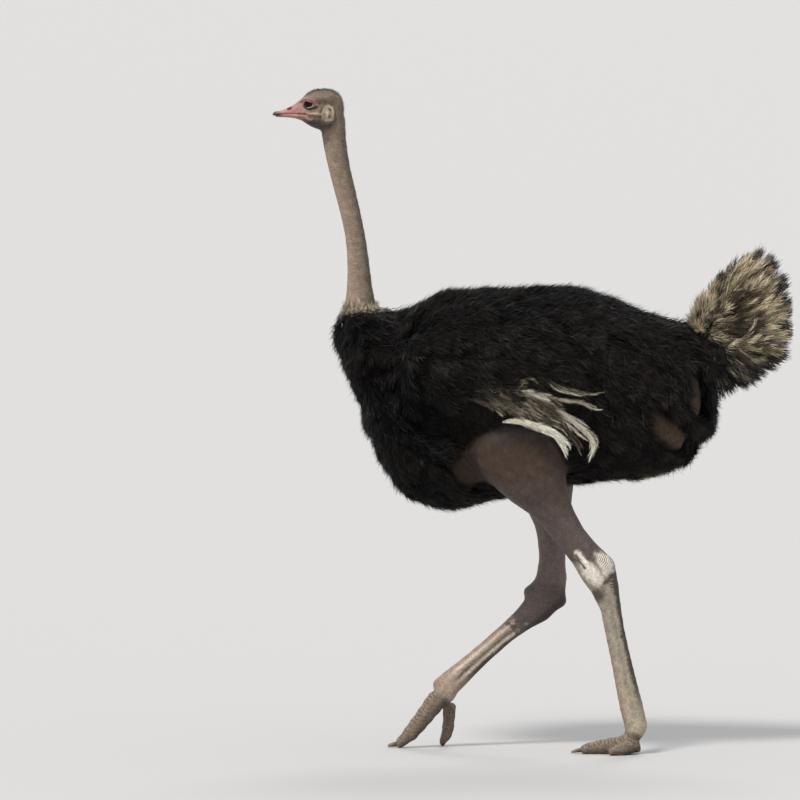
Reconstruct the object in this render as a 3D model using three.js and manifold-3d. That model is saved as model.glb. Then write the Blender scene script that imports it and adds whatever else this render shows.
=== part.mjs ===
// A life-size male ostrich in mid-stride, as a still museum model.
// Millimetres, +Z up. The bird faces -X, its left side is -Y, and the soles stand on Z = 0.
// The origin is on the floor, under the middle of the whole bird.

import * as THREE from "three";
import { mergeVertices } from "three/addons/utils/BufferGeometryUtils.js";
import Module from "manifold-3d";

const wasm = await Module();
wasm.setup();

// ---------------------------------------------------------------- driving dimensions

const GAP = 0.35; // clearance left between two parts that touch
const BIG = 4000; // larger than the bird, for the boxes that cut
const CAP_RINGS = 2; // rings that round off each end of a form

const SIDES = { left: -1, right: 1 }; // sign of Y on each side of the bird

const EYE = { x: -717, z: 2074, y: 25, r: 20 };
const EAR = { x: -655, z: 2041, y: 40, wide: 20, tall: 27, thick: 9, turn: 0.16 };
const NOSTRIL = { x: -779, z: 2060.5, y: 12, long: 9, high: 3.4, deep: 9, slope: 0.35 };
const GAPE_Z = 2041.5; // level of the closed mouth
const BILL_BASE_X = -751; // where the horny upper bill meets the face

const CROP = { chin: 1984, upperNeck: 1796, lowerNeck: 1610 }; // levels where the neck is parted

const HIP_Y = 166; // half the distance between the two drumsticks at the hips
const HOCK_Y = 116; // the same at the hocks
const FOOT_Y = 110; // and at the feet

// ---------------------------------------------------------------- solids from three.js geometry

function solidOf(geometry) {
  const bare = geometry.clone();
  bare.deleteAttribute("normal");
  bare.deleteAttribute("uv");
  const merged = mergeVertices(bare, 1e-3);
  const vertProperties = merged.attributes.position.array;
  const triVerts = new Uint32Array(merged.index.array);
  const make = () => new wasm.Manifold(new wasm.Mesh({ numProp: 3, vertProperties, triVerts }));
  const made = make();
  if (made.volume() > 0) return made;
  for (let i = 0; i < triVerts.length; i += 3) {
    [triVerts[i + 1], triVerts[i + 2]] = [triVerts[i + 2], triVerts[i + 1]];
  }
  return make();
}

function geometryOf(solid) {
  const mesh = solid.getMesh();
  const geometry = new THREE.BufferGeometry();
  const positions = new Float32Array(mesh.numVert * 3);
  for (let i = 0; i < mesh.numVert; i += 1) {
    const start = i * mesh.numProp;
    positions.set(mesh.vertProperties.subarray(start, start + 3), i * 3);
  }
  geometry.setAttribute("position", new THREE.BufferAttribute(positions, 3));
  geometry.setIndex(new THREE.BufferAttribute(mesh.triVerts, 1));
  return geometry;
}

// How far along the spine each ring sits, and how much of its full size it has there.
function ringPlaces(length, along, startCap, endCap) {
  const places = [];
  const cap = (size, mirrored) => {
    for (let i = 1; i <= CAP_RINGS; i += 1) {
      const angle = ((Math.PI / 2) * i) / (CAP_RINGS + 1);
      const inset = size * (1 - Math.cos(angle));
      places.push({ s: mirrored ? length - inset : inset, scale: Math.sin(angle) });
    }
  };
  if (startCap > 0) cap(startCap, false);
  for (let i = 0; i <= along; i += 1) {
    const s = startCap + ((length - startCap - endCap) * i) / along;
    places.push({ s, scale: 1 });
  }
  if (endCap > 0) cap(endCap, true);
  return places.sort((a, b) => a.s - b.s);
}

// A closed form carried along a smooth spine. Each station is
// [x, y, z, half width sideways, half depth in the plane of the bird's profile].
// The rings stand square to the spine, or upright across the bird.
function loft(stations, options) {
  const { around, along, startCap = 0, endCap = 0, boxy = 2, grow = 0, upright = false } = options;
  const spine = new THREE.CatmullRomCurve3(stations.map(([x, y, z]) => new THREE.Vector3(x, y, z)));
  const halves = stations.map(([, , , wide, deep]) => new THREE.Vector3(wide, deep, 0));
  const sizes = new THREE.CatmullRomCurve3(halves, false, "catmullrom");
  const length = spine.getLength();
  const places = ringPlaces(length, along, startCap, endCap);
  const rows = places.length + 1;
  const geometry = new THREE.SphereGeometry(1, around, rows);
  const position = geometry.attributes.position;
  const sideways = new THREE.Vector3();
  const upward = new THREE.Vector3();
  const point = new THREE.Vector3();

  for (let row = 0; row <= rows; row += 1) {
    const pole = row === 0 || row === rows;
    const place = places[Math.min(Math.max(row - 1, 0), places.length - 1)];
    const s = row === 0 ? 0 : row === rows ? length : place.s;
    const t = spine.getUtoTmapping(Math.min(s / length, 1));
    const centre = spine.getPoint(t);
    const tangent = upright ? new THREE.Vector3(1, 0, 0) : spine.getTangent(t);
    sideways.set(0, 1, 0).addScaledVector(tangent, -tangent.y).normalize();
    upward.crossVectors(tangent, sideways);
    const size = sizes.getPoint(t).addScalar(grow).multiplyScalar(pole ? 0 : place.scale);
    const endward = s <= 0 ? -grow : s >= length ? grow : 0;
    centre.addScaledVector(tangent, endward);
    for (let step = 0; step <= around; step += 1) {
      const angle = (2 * Math.PI * (step % around)) / around;
      const c = Math.cos(angle);
      const u = Math.sin(angle);
      const reach = (Math.abs(c) ** boxy + Math.abs(u) ** boxy) ** (-1 / boxy);
      point.copy(centre);
      point.addScaledVector(sideways, c * reach * size.x);
      point.addScaledVector(upward, u * reach * size.y);
      position.setXYZ(row * (around + 1) + step, point.x, point.y, point.z);
    }
  }
  return solidOf(geometry);
}

// A form that runs to the back, from its outline seen from the side: [x, top, bottom, half width].
function outlineLoft(rows, options, y = 0) {
  const stations = rows.map(([x, top, bottom, wide]) => {
    const half = (top - bottom) / 2;
    return [x, y, bottom + half, wide, half];
  });
  return loft(stations, { ...options, upright: true });
}

function ellipsoid({ at, radii, turn = 0, around = 10, rows = 7 }) {
  const geometry = new THREE.SphereGeometry(1, around, rows);
  geometry.rotateX(Math.PI / 2);
  geometry.scale(...radii);
  geometry.rotateY(turn);
  geometry.translate(...at);
  return solidOf(geometry);
}

function box(low, high) {
  const geometry = new THREE.BoxGeometry(...low.map((v, i) => high[i] - v));
  geometry.translate(...low.map((v, i) => (v + high[i]) / 2));
  return solidOf(geometry);
}

// Cutting can leave loose slivers, so only the main body is kept.
function largest(solid) {
  return solid.decompose().reduce((a, b) => (b.volume() > a.volume() ? b : a));
}

const slab = (bottom, top) => box([-BIG, -BIG, bottom], [BIG, BIG, top]);
const aboveFloor = slab(0, BIG);

// ---------------------------------------------------------------- trunk, wings and tail

const TRUNK_OUTLINE = [
  [-634, 1362, 1306, 60],
  [-606, 1408, 1236, 118],
  [-556, 1419, 1128, 168],
  [-506, 1416, 978, 205],
  [-442, 1404, 852, 232],
  [-360, 1446, 796, 244],
  [-262, 1480, 778, 246],
  [-140, 1489, 806, 244],
  [-10, 1495, 836, 242],
  [118, 1497, 858, 238],
  [246, 1466, 872, 230],
  [374, 1413, 882, 210],
  [486, 1384, 930, 172],
  [566, 1346, 1020, 122],
  [606, 1290, 1096, 76],
];

const trunkForm = (grow = 0) =>
  outlineLoft(TRUNK_OUTLINE, { around: 24, along: 15, startCap: 40, endCap: 34, boxy: 2.15, grow });

const WING_OUTLINE = [
  [-446, 1336, 1236, 46],
  [-410, 1378, 1166, 70],
  [-346, 1418, 1112, 84],
  [-250, 1442, 1086, 92],
  [-150, 1448, 1056, 94],
  [-50, 1436, 1028, 90],
  [40, 1392, 1026, 78],
  [110, 1320, 1048, 60],
  [160, 1230, 1080, 40],
];
const WING_Y = 216;

const wingForm = (side, grow = 0) =>
  outlineLoft(WING_OUTLINE, { around: 16, along: 7, startCap: 34, endCap: 34, grow }, side * WING_Y);

const PLUME_OUTLINE = [
  [-190, 1098, 1046, 16],
  [-106, 1150, 1026, 26],
  [-10, 1188, 992, 30],
  [86, 1186, 952, 30],
  [166, 1160, 920, 26],
  [226, 1110, 920, 16],
];
const PLUME_Y = 276;

const plumeForm = (side) =>
  outlineLoft(PLUME_OUTLINE, { around: 12, along: 5, startCap: 14, endCap: 14 }, side * PLUME_Y);

const TAIL_OUTLINE = [
  [500, 1400, 1250, 44],
  [532, 1464, 1172, 78],
  [570, 1504, 1142, 104],
  [616, 1550, 1146, 126],
  [668, 1592, 1162, 142],
  [718, 1610, 1186, 148],
  [766, 1582, 1218, 138],
  [802, 1530, 1252, 112],
  [824, 1462, 1290, 78],
];

const tailForm = () => outlineLoft(TAIL_OUTLINE, { around: 18, along: 7, startCap: 20, endCap: 14 });

// ---------------------------------------------------------------- head, bill and neck

const SKULL_OUTLINE = [
  [BILL_BASE_X, 2081, 2026, 24],
  [-741, 2090, 2021, 29],
  [-724, 2104, 2009, 36],
  [-706, 2113, 1999, 41],
  [-686, 2117, 1992, 43.5],
  [-662, 2118, 1988, 43],
  [-640, 2113, 1990, 40],
  [-621, 2100, 1996, 35],
  [-609, 2082, 2008, 28],
];

const NECK_STATIONS = [
  [-642, 2044, 33, 34],
  [-638, 2006, 35, 38],
  [-637, 1968, 35, 38],
  [-621, 1875, 32, 34.5],
  [-600, 1789, 31, 33],
  [-579, 1702, 31, 31.5],
  [-567, 1638, 32, 32],
  [-557, 1530, 36, 37],
  [-554, 1450, 43, 45],
  [-550, 1400, 55, 58],
  [-540, 1320, 66, 70],
].map(([x, z, wide, deep]) => [x, 0, z, wide, deep]);

const skullForm = () => outlineLoft(SKULL_OUTLINE, { around: 20, along: 8, endCap: 14, boxy: 2.2 });
const neckForm = () => loft(NECK_STATIONS, { around: 14, along: 13, startCap: 20 });

// The brow stands out over each eye, and the cheek below and behind it.
const browForm = (side) =>
  ellipsoid({ at: [EYE.x + 4, side * (EYE.y + 4), EYE.z + 15], radii: [26, 15, 9], turn: 0.18 });
const cheekForm = (side) =>
  ellipsoid({ at: [-690, side * 29, 2030], radii: [44, 15, 24], turn: -0.12 });

const UPPER_BILL_OUTLINE = [
  [-829, 2047, 2034, 6],
  [-812, 2052, 2032, 15],
  [-790, 2060, 2032, 20],
  [-770, 2068, 2030, 23],
  [BILL_BASE_X - GAP, 2081, 2027, 24.5],
];
const LOWER_BILL_OUTLINE = [
  [-825, 2046, 2033, 5],
  [-808, 2048, 2031, 14],
  [-785, 2048, 2030, 19],
  [-768, 2048, 2028, 21.5],
  [BILL_BASE_X - GAP, 2050, 2025, 23.5],
];
const billForm = (outline) => outlineLoft(outline, { around: 14, along: 5, startCap: 9, boxy: 2.3 });

const nostrilForm = (side) =>
  ellipsoid({
    at: [NOSTRIL.x, side * NOSTRIL.y, NOSTRIL.z],
    radii: [NOSTRIL.long, NOSTRIL.deep, NOSTRIL.high],
    turn: -NOSTRIL.slope,
    around: 8,
    rows: 6,
  });

const eyeForm = (side, grow = 0) =>
  ellipsoid({ at: [EYE.x, side * EYE.y, EYE.z], radii: Array(3).fill(EYE.r + grow) });

function earForm(side, grow = 0) {
  const { x, z, y, wide, tall, thick, turn } = EAR;
  return ellipsoid({ at: [x, side * y, z], radii: [wide + grow, thick + grow, tall + grow], turn });
}

const earHole = (side) =>
  ellipsoid({
    at: [EAR.x + 6, side * (EAR.y + EAR.thick), EAR.z - 8],
    radii: [7, 6, 11],
    turn: EAR.turn,
    around: 8,
    rows: 6,
  });

// ---------------------------------------------------------------- legs and feet

// Stations of a leg from the hip to the toe joint: [x, z, half width, half depth].
// The left leg trails, about to push off, and the right one reaches forward to be set down.
const LEGS = {
  left: {
    drumstick: [
      [-110, 1084, 94, 148],
      [-62, 990, 98, 144],
      [12, 866, 82, 104],
      [56, 792, 56, 65],
      [102, 721, 46, 52],
      [147, 659, 42, 48],
      [196, 606, 44, 57],
      [208, 584, 45, 60],
    ],
    hockCut: 612,
    shank: [
      [227, 531, 38, 47],
      [243, 483, 29, 35],
      [259, 396, 25, 32],
      [282, 291, 25, 33],
      [308, 172, 28, 37],
      [325, 102, 33, 38],
      [334, 62, 33, 34],
    ],
  },
  right: {
    drumstick: [
      [-16, 992, 98, 144],
      [20, 890, 92, 126],
      [50, 800, 72, 84],
      [62, 714, 48, 54],
      [64, 608, 41, 43],
      [60, 538, 43, 51],
      [50, 500, 44, 58],
      [40, 478, 45, 60],
    ],
    hockCut: 520,
    shank: [
      [0, 436, 37, 46],
      [-42, 404, 29, 35],
      [-106, 350, 25, 31],
      [-189, 276, 25, 33],
      [-250, 221, 30, 39],
      [-284, 192, 34, 42],
      [-300, 172, 34, 38],
    ],
  },
};

// Toe paths from the claw end back to the toe joint: [x, sideways from the foot, z, half width, half depth].
// Where a toe bears on the floor it reaches a little below it, and is pressed flat there.
const TOES = {
  left: {
    inner: [
      [150, 0, 12, 15, 15],
      [172, 0, 15, 20, 19],
      [208, 0, 20, 24, 24],
      [252, 0, 24, 26, 28],
      [300, 0, 30, 29, 33],
      [336, 0, 44, 30, 38],
    ],
    outer: [
      [238, 66, 10, 12, 13],
      [256, 60, 13, 16, 16],
      [284, 48, 17, 18, 20],
      [314, 30, 32, 20, 26],
    ],
    claw: [
      [120, 0, 5, 2, 3],
      [134, 0, 9, 7, 6],
      [156, 0, 13, 10, 8],
    ],
  },
  right: {
    inner: [
      [-440, -4, 12, 14, 15],
      [-420, -3, 17, 19, 20],
      [-392, -2, 46, 23, 25],
      [-344, 0, 106, 26, 29],
      [-298, 0, 166, 30, 34],
    ],
    outer: [
      [-300, 62, 10, 12, 13],
      [-284, 60, 16, 15, 18],
      [-273, 54, 48, 17, 19],
      [-268, 42, 94, 18, 20],
      [-268, 24, 142, 19, 23],
    ],
    claw: [
      [-466, -4, 5, 2, 4],
      [-454, -4, 9, 7, 7],
      [-434, -4, 13, 10, 9],
    ],
  },
};

function legForm(name, grow = 0) {
  const sign = SIDES[name];
  const { drumstick, shank } = LEGS[name];
  const hockAt = drumstick.length - 1;
  const stations = [...drumstick, ...shank].map(([x, z, wide, deep], i) => {
    const below = (i - hockAt) / shank.length;
    const out = i < hockAt
      ? THREE.MathUtils.lerp(HIP_Y, HOCK_Y, i / hockAt)
      : THREE.MathUtils.lerp(HOCK_Y, FOOT_Y, below);
    return [x, sign * out, z, wide, deep];
  });
  return loft(stations, { around: 12, along: 16, startCap: 60, endCap: 20, grow });
}

function toeForm(name, digit, grow = 0) {
  const sign = SIDES[name];
  const rows = TOES[name][digit];
  const stations = rows.map(([x, out, z, wide, deep]) => [x, sign * (FOOT_Y + out), z, wide, deep]);
  const cap = digit === "claw" ? 2 : 10;
  const size = digit === "claw" ? { around: 8, along: 3 } : { around: 10, along: 4 };
  return loft(stations, { ...size, startCap: cap, endCap: cap, boxy: 2.3, grow });
}

// ---------------------------------------------------------------- parting the bird into its nodes

const skin = (color, roughness = 0.8) => new THREE.MeshStandardMaterial({ color, roughness, metalness: 0 });

const MATERIALS = {
  bareSkin: skin(0x9a8676),
  legSkin: skin(0x8a7b74, 0.75),
  bill: skin(0xc99489, 0.55),
  eye: skin(0x120b08, 0.08),
  ear: skin(0xb3a692),
  blackPlumage: skin(0x14110f, 0.9),
  whitePlumage: skin(0xcfc7b4, 0.9),
  tailPlumage: skin(0x8d7c60, 0.9),
  claw: skin(0x4a4038, 0.5),
};

const ostrich = new THREE.Group();

function addNode(name, solid, material) {
  const mesh = new THREE.Mesh(geometryOf(solid), material);
  mesh.name = name;
  ostrich.add(mesh);
  return solid;
}

const bothSides = (make) => Object.values(SIDES).map(make);
const joined = (solids) => solids.reduce((all, one) => all.add(one));

// Feathered body. The wings lie on the trunk, the plumes on the wings, the tail behind the trunk.
const trunkCutter = trunkForm(GAP);
const wingCutters = bothSides((side) => wingForm(side, GAP));
const legCutter = joined(Object.keys(SIDES).map((name) => legForm(name, GAP)));

addNode("trunk", trunkForm().subtract(legCutter), MATERIALS.blackPlumage);
addNode("tail", tailForm().subtract(trunkCutter), MATERIALS.tailPlumage);

Object.entries(SIDES).forEach(([name, side], i) => {
  const wing = wingForm(side).subtract(trunkCutter).subtract(legCutter);
  addNode(`wing_${name}`, largest(wing), MATERIALS.blackPlumage);
  const plumes = plumeForm(side).subtract(wingCutters[i]).subtract(trunkCutter).subtract(legCutter);
  addNode(`wing_plumes_${name}`, largest(plumes), MATERIALS.whitePlumage);
});

// Neck in three lengths, between the head and the trunk.
const neck = neckForm();
const neckLengths = {
  neck_upper: [CROP.upperNeck, CROP.chin],
  neck_middle: [CROP.lowerNeck, CROP.upperNeck],
  neck_lower: [0, CROP.lowerNeck],
};
for (const [name, [bottom, top]] of Object.entries(neckLengths)) {
  const length = neck.intersect(slab(bottom + GAP / 2, top - GAP / 2)).subtract(trunkCutter);
  addNode(name, largest(length), MATERIALS.bareSkin);
}

// Head, with the bill closed along the gape and the eyes and ears set in.
const nostrils = joined(bothSides(nostrilForm));
const upperBill = billForm(UPPER_BILL_OUTLINE)
  .intersect(slab(GAPE_Z + GAP / 2, BIG))
  .subtract(nostrils);
const lowerBill = billForm(LOWER_BILL_OUTLINE).intersect(slab(0, GAPE_Z - GAP / 2));
const socketCutter = joined([...bothSides((s) => eyeForm(s, GAP)), ...bothSides((s) => earForm(s, GAP))]);
const head = skullForm()
  .add(joined(bothSides(browForm)))
  .add(joined(bothSides(cheekForm)))
  .intersect(box([BILL_BASE_X, -BIG, 0], [BIG, BIG, BIG]))
  .add(neck)
  .intersect(slab(CROP.chin + GAP / 2, BIG))
  .subtract(socketCutter);
addNode("head", largest(head), MATERIALS.bareSkin);
addNode("bill_upper", largest(upperBill), MATERIALS.bill);
addNode("bill_lower", largest(lowerBill), MATERIALS.bill);
for (const [name, side] of Object.entries(SIDES)) {
  addNode(`eye_${name}`, eyeForm(side), MATERIALS.eye);
  addNode(`ear_${name}`, earForm(side).subtract(earHole(side)), MATERIALS.ear);
}

// Legs. Each foot has two toes, and only the inner one has a claw.
for (const name of Object.keys(SIDES)) {
  const { hockCut } = LEGS[name];
  const leg = legForm(name);
  const legGrown = legForm(name, GAP);
  const innerGrown = toeForm(name, "inner", GAP);
  const inner = toeForm(name, "inner").intersect(aboveFloor).subtract(legGrown);
  const outer = toeForm(name, "outer").intersect(aboveFloor).subtract(legGrown).subtract(innerGrown);
  const claw = toeForm(name, "claw").intersect(aboveFloor).subtract(innerGrown);
  addNode(`drumstick_${name}`, leg.intersect(slab(hockCut + GAP / 2, BIG)), MATERIALS.legSkin);
  addNode(`shank_${name}`, leg.intersect(slab(0, hockCut - GAP / 2)), MATERIALS.legSkin);
  addNode(`toe_inner_${name}`, largest(inner), MATERIALS.legSkin);
  addNode(`toe_outer_${name}`, largest(outer), MATERIALS.legSkin);
  addNode(`claw_${name}`, largest(claw), MATERIALS.claw);
}

// The origin goes under the middle of the bird's whole box.
const bounds = new THREE.Box3().setFromObject(ostrich);
ostrich.position.set(-(bounds.min.x + bounds.max.x) / 2, -(bounds.min.y + bounds.max.y) / 2, 0);

export default ostrich;
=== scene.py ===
# %% [markdown]
# # A male ostrich in mid-stride, life size
#
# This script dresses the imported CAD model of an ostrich. The CAD solids give the true outline, out to the tips
# of the feathers. Here one skin takes the place of the flesh, and it lies inside the outline by the depth of the
# coat. Bill, eyes and claws are horn or glass and stay pieces of their own. The feathers are real mesh: every
# plume is a shaft with soft barbs on both sides, as on the bird.
#
# The order is: camera and light, skin, markings, horn and eyes, then the plumes of body, tail and wings, and last
# the down and the bristles.

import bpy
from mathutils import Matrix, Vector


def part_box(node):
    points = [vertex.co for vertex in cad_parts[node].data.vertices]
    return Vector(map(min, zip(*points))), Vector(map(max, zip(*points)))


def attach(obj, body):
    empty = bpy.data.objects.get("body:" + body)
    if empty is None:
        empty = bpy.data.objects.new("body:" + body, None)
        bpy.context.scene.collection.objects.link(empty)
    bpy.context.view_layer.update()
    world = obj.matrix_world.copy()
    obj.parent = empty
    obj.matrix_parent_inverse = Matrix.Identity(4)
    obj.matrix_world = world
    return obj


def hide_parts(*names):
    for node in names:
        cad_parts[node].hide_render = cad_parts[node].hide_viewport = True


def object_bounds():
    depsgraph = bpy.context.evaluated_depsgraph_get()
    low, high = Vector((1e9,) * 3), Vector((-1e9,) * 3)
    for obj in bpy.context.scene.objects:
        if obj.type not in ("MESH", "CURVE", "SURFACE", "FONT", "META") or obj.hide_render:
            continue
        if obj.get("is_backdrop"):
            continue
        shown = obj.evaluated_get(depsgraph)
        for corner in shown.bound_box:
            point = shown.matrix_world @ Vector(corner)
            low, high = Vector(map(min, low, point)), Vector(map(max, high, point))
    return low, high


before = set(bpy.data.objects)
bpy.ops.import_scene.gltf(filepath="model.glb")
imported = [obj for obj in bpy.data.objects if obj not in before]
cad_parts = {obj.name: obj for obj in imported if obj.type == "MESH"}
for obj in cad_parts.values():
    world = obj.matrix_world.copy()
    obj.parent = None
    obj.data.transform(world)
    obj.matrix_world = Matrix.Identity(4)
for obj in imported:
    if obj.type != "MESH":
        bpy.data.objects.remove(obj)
cad_low, cad_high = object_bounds()
print("CAD box", [round(v, 3) for v in cad_low], [round(v, 3) for v in cad_high])

# %% Tools for the whole lesson
import math

import bmesh
import bpy
import numpy as np
from mathutils import Vector
from mathutils.bvhtree import BVHTree
from mathutils.kdtree import KDTree

MM = 0.001  # one millimetre in Blender's metres
SIDES = {"left": -1, "right": 1}  # sign of Y on each side of the bird
scene = bpy.context.scene


def middle(name):
    low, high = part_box(name)
    return np.array((low + high) / 2)


def colour(red, green, blue):
    """A display colour from 0 to 255 as the linear values that a shader reads."""
    share = np.array([red, green, blue]) / 255
    return np.where(share <= 0.04045, share / 12.92, ((share + 0.055) / 1.055) ** 2.4)


def ramp(value, low, high):
    """0 below low, 1 above high, and a smooth step between them."""
    t = np.clip((value - low) / (high - low), 0, 1)
    return t * t * (3 - 2 * t)


def unit(vectors):
    return vectors / np.maximum(np.linalg.norm(vectors, axis=-1, keepdims=True), 1e-12)


def patches(points, size, seed):
    """Smooth, seeded patches between -1 and 1, about size metres across."""
    draw = np.random.default_rng(seed)
    total = np.zeros(points.shape[:-1])
    for _ in range(7):
        direction = unit(draw.normal(size=3)) * (2 * math.pi / size) * draw.uniform(0.6, 1.7)
        total += np.sin(points @ direction + draw.uniform(0, 2 * math.pi))
    return np.clip(total / 3.2, -1, 1)


def wobble(points, size, *seeds):
    """Three sets of patches as one shift of the points, to make an edge ragged."""
    return np.stack([patches(points, size, seed) for seed in seeds], -1)


def bell(value, centre, width):
    """1 at the centre, and fading to 0 on both sides of it."""
    return np.exp(-(((value - centre) / width) ** 2))


def place_in(box):
    """Gives a function from shares of a box's length and height to a place seen from the side."""
    low, high = box
    return lambda along, up: (low.x + along * (high.x - low.x), low.z + up * (high.z - low.z))


# %% [markdown]
# ## Camera
#
# The bird is seen from its left side, from far away and a little above: a long lens keeps the near and the far
# leg at almost the same scale. The camera aims at a point worked out from the CAD box, so it needs no shift.

# %% Camera
CAMERA_DISTANCE = 30.0
CAMERA_ELEVATION = math.radians(3.0)
FRAME_HEIGHT = 2.56  # metres of subject plane that fill the picture

aim = Vector((cad_low.x + 0.2437 * (cad_high.x - cad_low.x), 0, 0.5316 * cad_high.z))
lens_data = bpy.data.cameras.new("camera")
lens_data.sensor_width = 36
lens_data.lens = lens_data.sensor_width * CAMERA_DISTANCE / FRAME_HEIGHT
lens_data.clip_end = 4000
camera = bpy.data.objects.new("camera", lens_data)
towards_camera = Vector((0, -math.cos(CAMERA_ELEVATION), math.sin(CAMERA_ELEVATION)))
camera.location = aim + CAMERA_DISTANCE * towards_camera
camera.rotation_euler = towards_camera.to_track_quat("Z", "Y").to_euler()
scene.collection.objects.link(camera)
scene.camera = camera
print("camera at", [round(v, 2) for v in camera.location], "lens", round(lens_data.lens, 1))

# %% [markdown]
# ## Studio: floor and light
#
# Black plumage only shows its structure when a strong, high light rakes over it. One broad sun-like lamp stands
# upper left on the camera's side, a weaker one lights the back edge, and a pale world fills the shadows. The
# floor is a plain pale plane, large enough to fill the picture at this low angle.

# %% Floor and lights
FLOOR_HALF = 900.0


def plain_material(name, tint, roughness):
    made = bpy.data.materials.new(name)
    made.use_nodes = True
    shader = made.node_tree.nodes["Principled BSDF"]
    shader.inputs["Base Color"].default_value = (*tint, 1)
    shader.inputs["Roughness"].default_value = roughness
    return made


floor_shape = bmesh.new()
bmesh.ops.create_grid(floor_shape, x_segments=2, y_segments=2, size=FLOOR_HALF)
floor_mesh = bpy.data.meshes.new("floor")
floor_shape.to_mesh(floor_mesh)
floor_shape.free()
floor_mesh.materials.append(plain_material("studio floor", (0.46, 0.455, 0.45), 0.9))
floor = bpy.data.objects.new("floor", floor_mesh)
scene.collection.objects.link(floor)
floor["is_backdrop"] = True

world = bpy.data.worlds.new("studio")
world.use_nodes = True
world.node_tree.nodes["Background"].inputs["Color"].default_value = (0.97, 0.98, 1.0, 1)
world.node_tree.nodes["Background"].inputs["Strength"].default_value = 0.75
scene.world = world
scene.view_settings.view_transform = "Standard"


def sun(name, comes_from, strength, softness, tint):
    lamp = bpy.data.lights.new(name, "SUN")
    lamp.energy = strength
    lamp.angle = math.radians(softness)
    lamp.color = tint
    holder = bpy.data.objects.new(name, lamp)
    holder.rotation_euler = Vector(comes_from).to_track_quat("Z", "Y").to_euler()
    scene.collection.objects.link(holder)


sun("key", (-0.55, -0.75, 1.25), 2.6, 14, (1.0, 0.97, 0.92))
sun("rim", (0.2, 0.9, 0.9), 0.8, 20, (0.95, 0.97, 1.0))

# %% [markdown]
# ## Skin
#
# On the bird one skin runs from the face down the neck, over the body under the feathers, and down the legs. It
# could be lofted anew, but the CAD solids already have the right proportions. So copies of them are merged,
# made one surface by a voxel remesh, and smoothed until no facet shows. Where feathers grow, the skin then sinks
# by the depth of the coat. The head, the toes and the near hock get a finer mesh for the sculpting that follows.

# %% Mesh helpers
BARE = {
    "head": ["head"],
    "ear": ["ear_left", "ear_right"],
    "bill": ["bill_upper", "bill_lower"],
    "neck": ["neck_upper", "neck_middle", "neck_lower"],
    "thigh": ["drumstick_left", "drumstick_right"],
    "shank": ["shank_left", "shank_right"],
    "toe": ["toe_inner_left", "toe_inner_right", "toe_outer_left", "toe_outer_right"],
}
FEATHERED = {"trunk": ["trunk"], "wing": ["wing_left", "wing_right"], "tail": ["tail"]}
REGIONS = {**BARE, **FEATHERED}


def merged_copy(names, grow=0.0):
    """A bmesh of copies of CAD nodes, with their loose triangles merged, moved outwards by grow."""
    shape = bmesh.new()
    for name in names:
        shape.from_mesh(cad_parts[name].data)
    bmesh.ops.remove_doubles(shape, verts=shape.verts, dist=1e-6)
    shape.normal_update()
    moves = [(v, v.normal * grow) for v in shape.verts]
    for vertex, move in moves:
        vertex.co += move
    return shape


def remeshed(name, shape, voxel):
    """The bmesh as one closed surface of small quads."""
    rough = bpy.data.meshes.new(name + "_rough")
    shape.to_mesh(rough)
    shape.free()
    holder = bpy.data.objects.new(name, rough)
    scene.collection.objects.link(holder)
    modifier = holder.modifiers.new("Remesh", "REMESH")
    modifier.mode = "VOXEL"
    modifier.voxel_size = voxel
    graph = bpy.context.evaluated_depsgraph_get()
    fine = bpy.data.meshes.new_from_object(holder.evaluated_get(graph))
    fine.name = name
    bpy.data.objects.remove(holder)
    bpy.data.meshes.remove(rough)
    return fine


def points_of(mesh):
    flat = np.empty(len(mesh.vertices) * 3, np.float32)
    mesh.vertices.foreach_get("co", flat)
    return flat.reshape(-1, 3).astype(float)


def set_points(mesh, points):
    mesh.vertices.foreach_set("co", points.astype(np.float32).ravel())
    mesh.update()


def normals_of(mesh):
    flat = np.empty(len(mesh.vertices) * 3, np.float32)
    mesh.vertex_normals.foreach_get("vector", flat)
    return flat.reshape(-1, 3).astype(float)


def edges_of(mesh):
    flat = np.empty(len(mesh.edges) * 2, np.int32)
    mesh.edges.foreach_get("vertices", flat)
    return flat.reshape(-1, 2)


def neighbour_mean(values, edges):
    """For each vertex, the mean of its neighbours' values."""
    a, b = edges.T
    count = len(values)
    shared = np.maximum(np.bincount(edges.ravel(), minlength=count), 1)
    columns = values.reshape(count, -1)
    total = [
        np.bincount(a, columns[b, k], count) + np.bincount(b, columns[a, k], count)
        for k in range(columns.shape[1])
    ]
    return (np.stack(total, 1) / shared[:, None]).reshape(values.shape)


def relax(points, edges, rounds, weight=1.0):
    """Smooths the surface and keeps its volume: each shrinking step is followed by a growing one."""
    weight = np.broadcast_to(weight, len(points))[:, None]
    for _ in range(rounds):
        points = points + 0.6 * weight * (neighbour_mean(points, edges) - points)
        points = points - 0.61 * weight * (neighbour_mean(points, edges) - points)
    return points


def surface_tree(names):
    shape = merged_copy(names)
    tree = BVHTree.FromBMesh(shape)
    shape.free()
    return tree


def distances(tree, points):
    return np.array([tree.find_nearest(p)[3] for p in points.tolist()])


def set_attribute(mesh, name, values):
    layer = mesh.attributes.get(name) or mesh.attributes.new(name, "FLOAT", "POINT")
    layer.data.foreach_set("value", values.astype(np.float32))


def attribute(mesh, name):
    values = np.empty(len(mesh.vertices), np.float32)
    mesh.attributes[name].data.foreach_get("value", values)
    return values.astype(float)


def set_markings(mesh, tints):
    """Keeps a colour for every vertex, for the materials to read."""
    colours = np.column_stack((tints, np.ones(len(tints)))).astype(np.float32)
    mesh.color_attributes.new("Markings", "FLOAT_COLOR", "POINT").data.foreach_set("color", colours.ravel())


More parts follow.
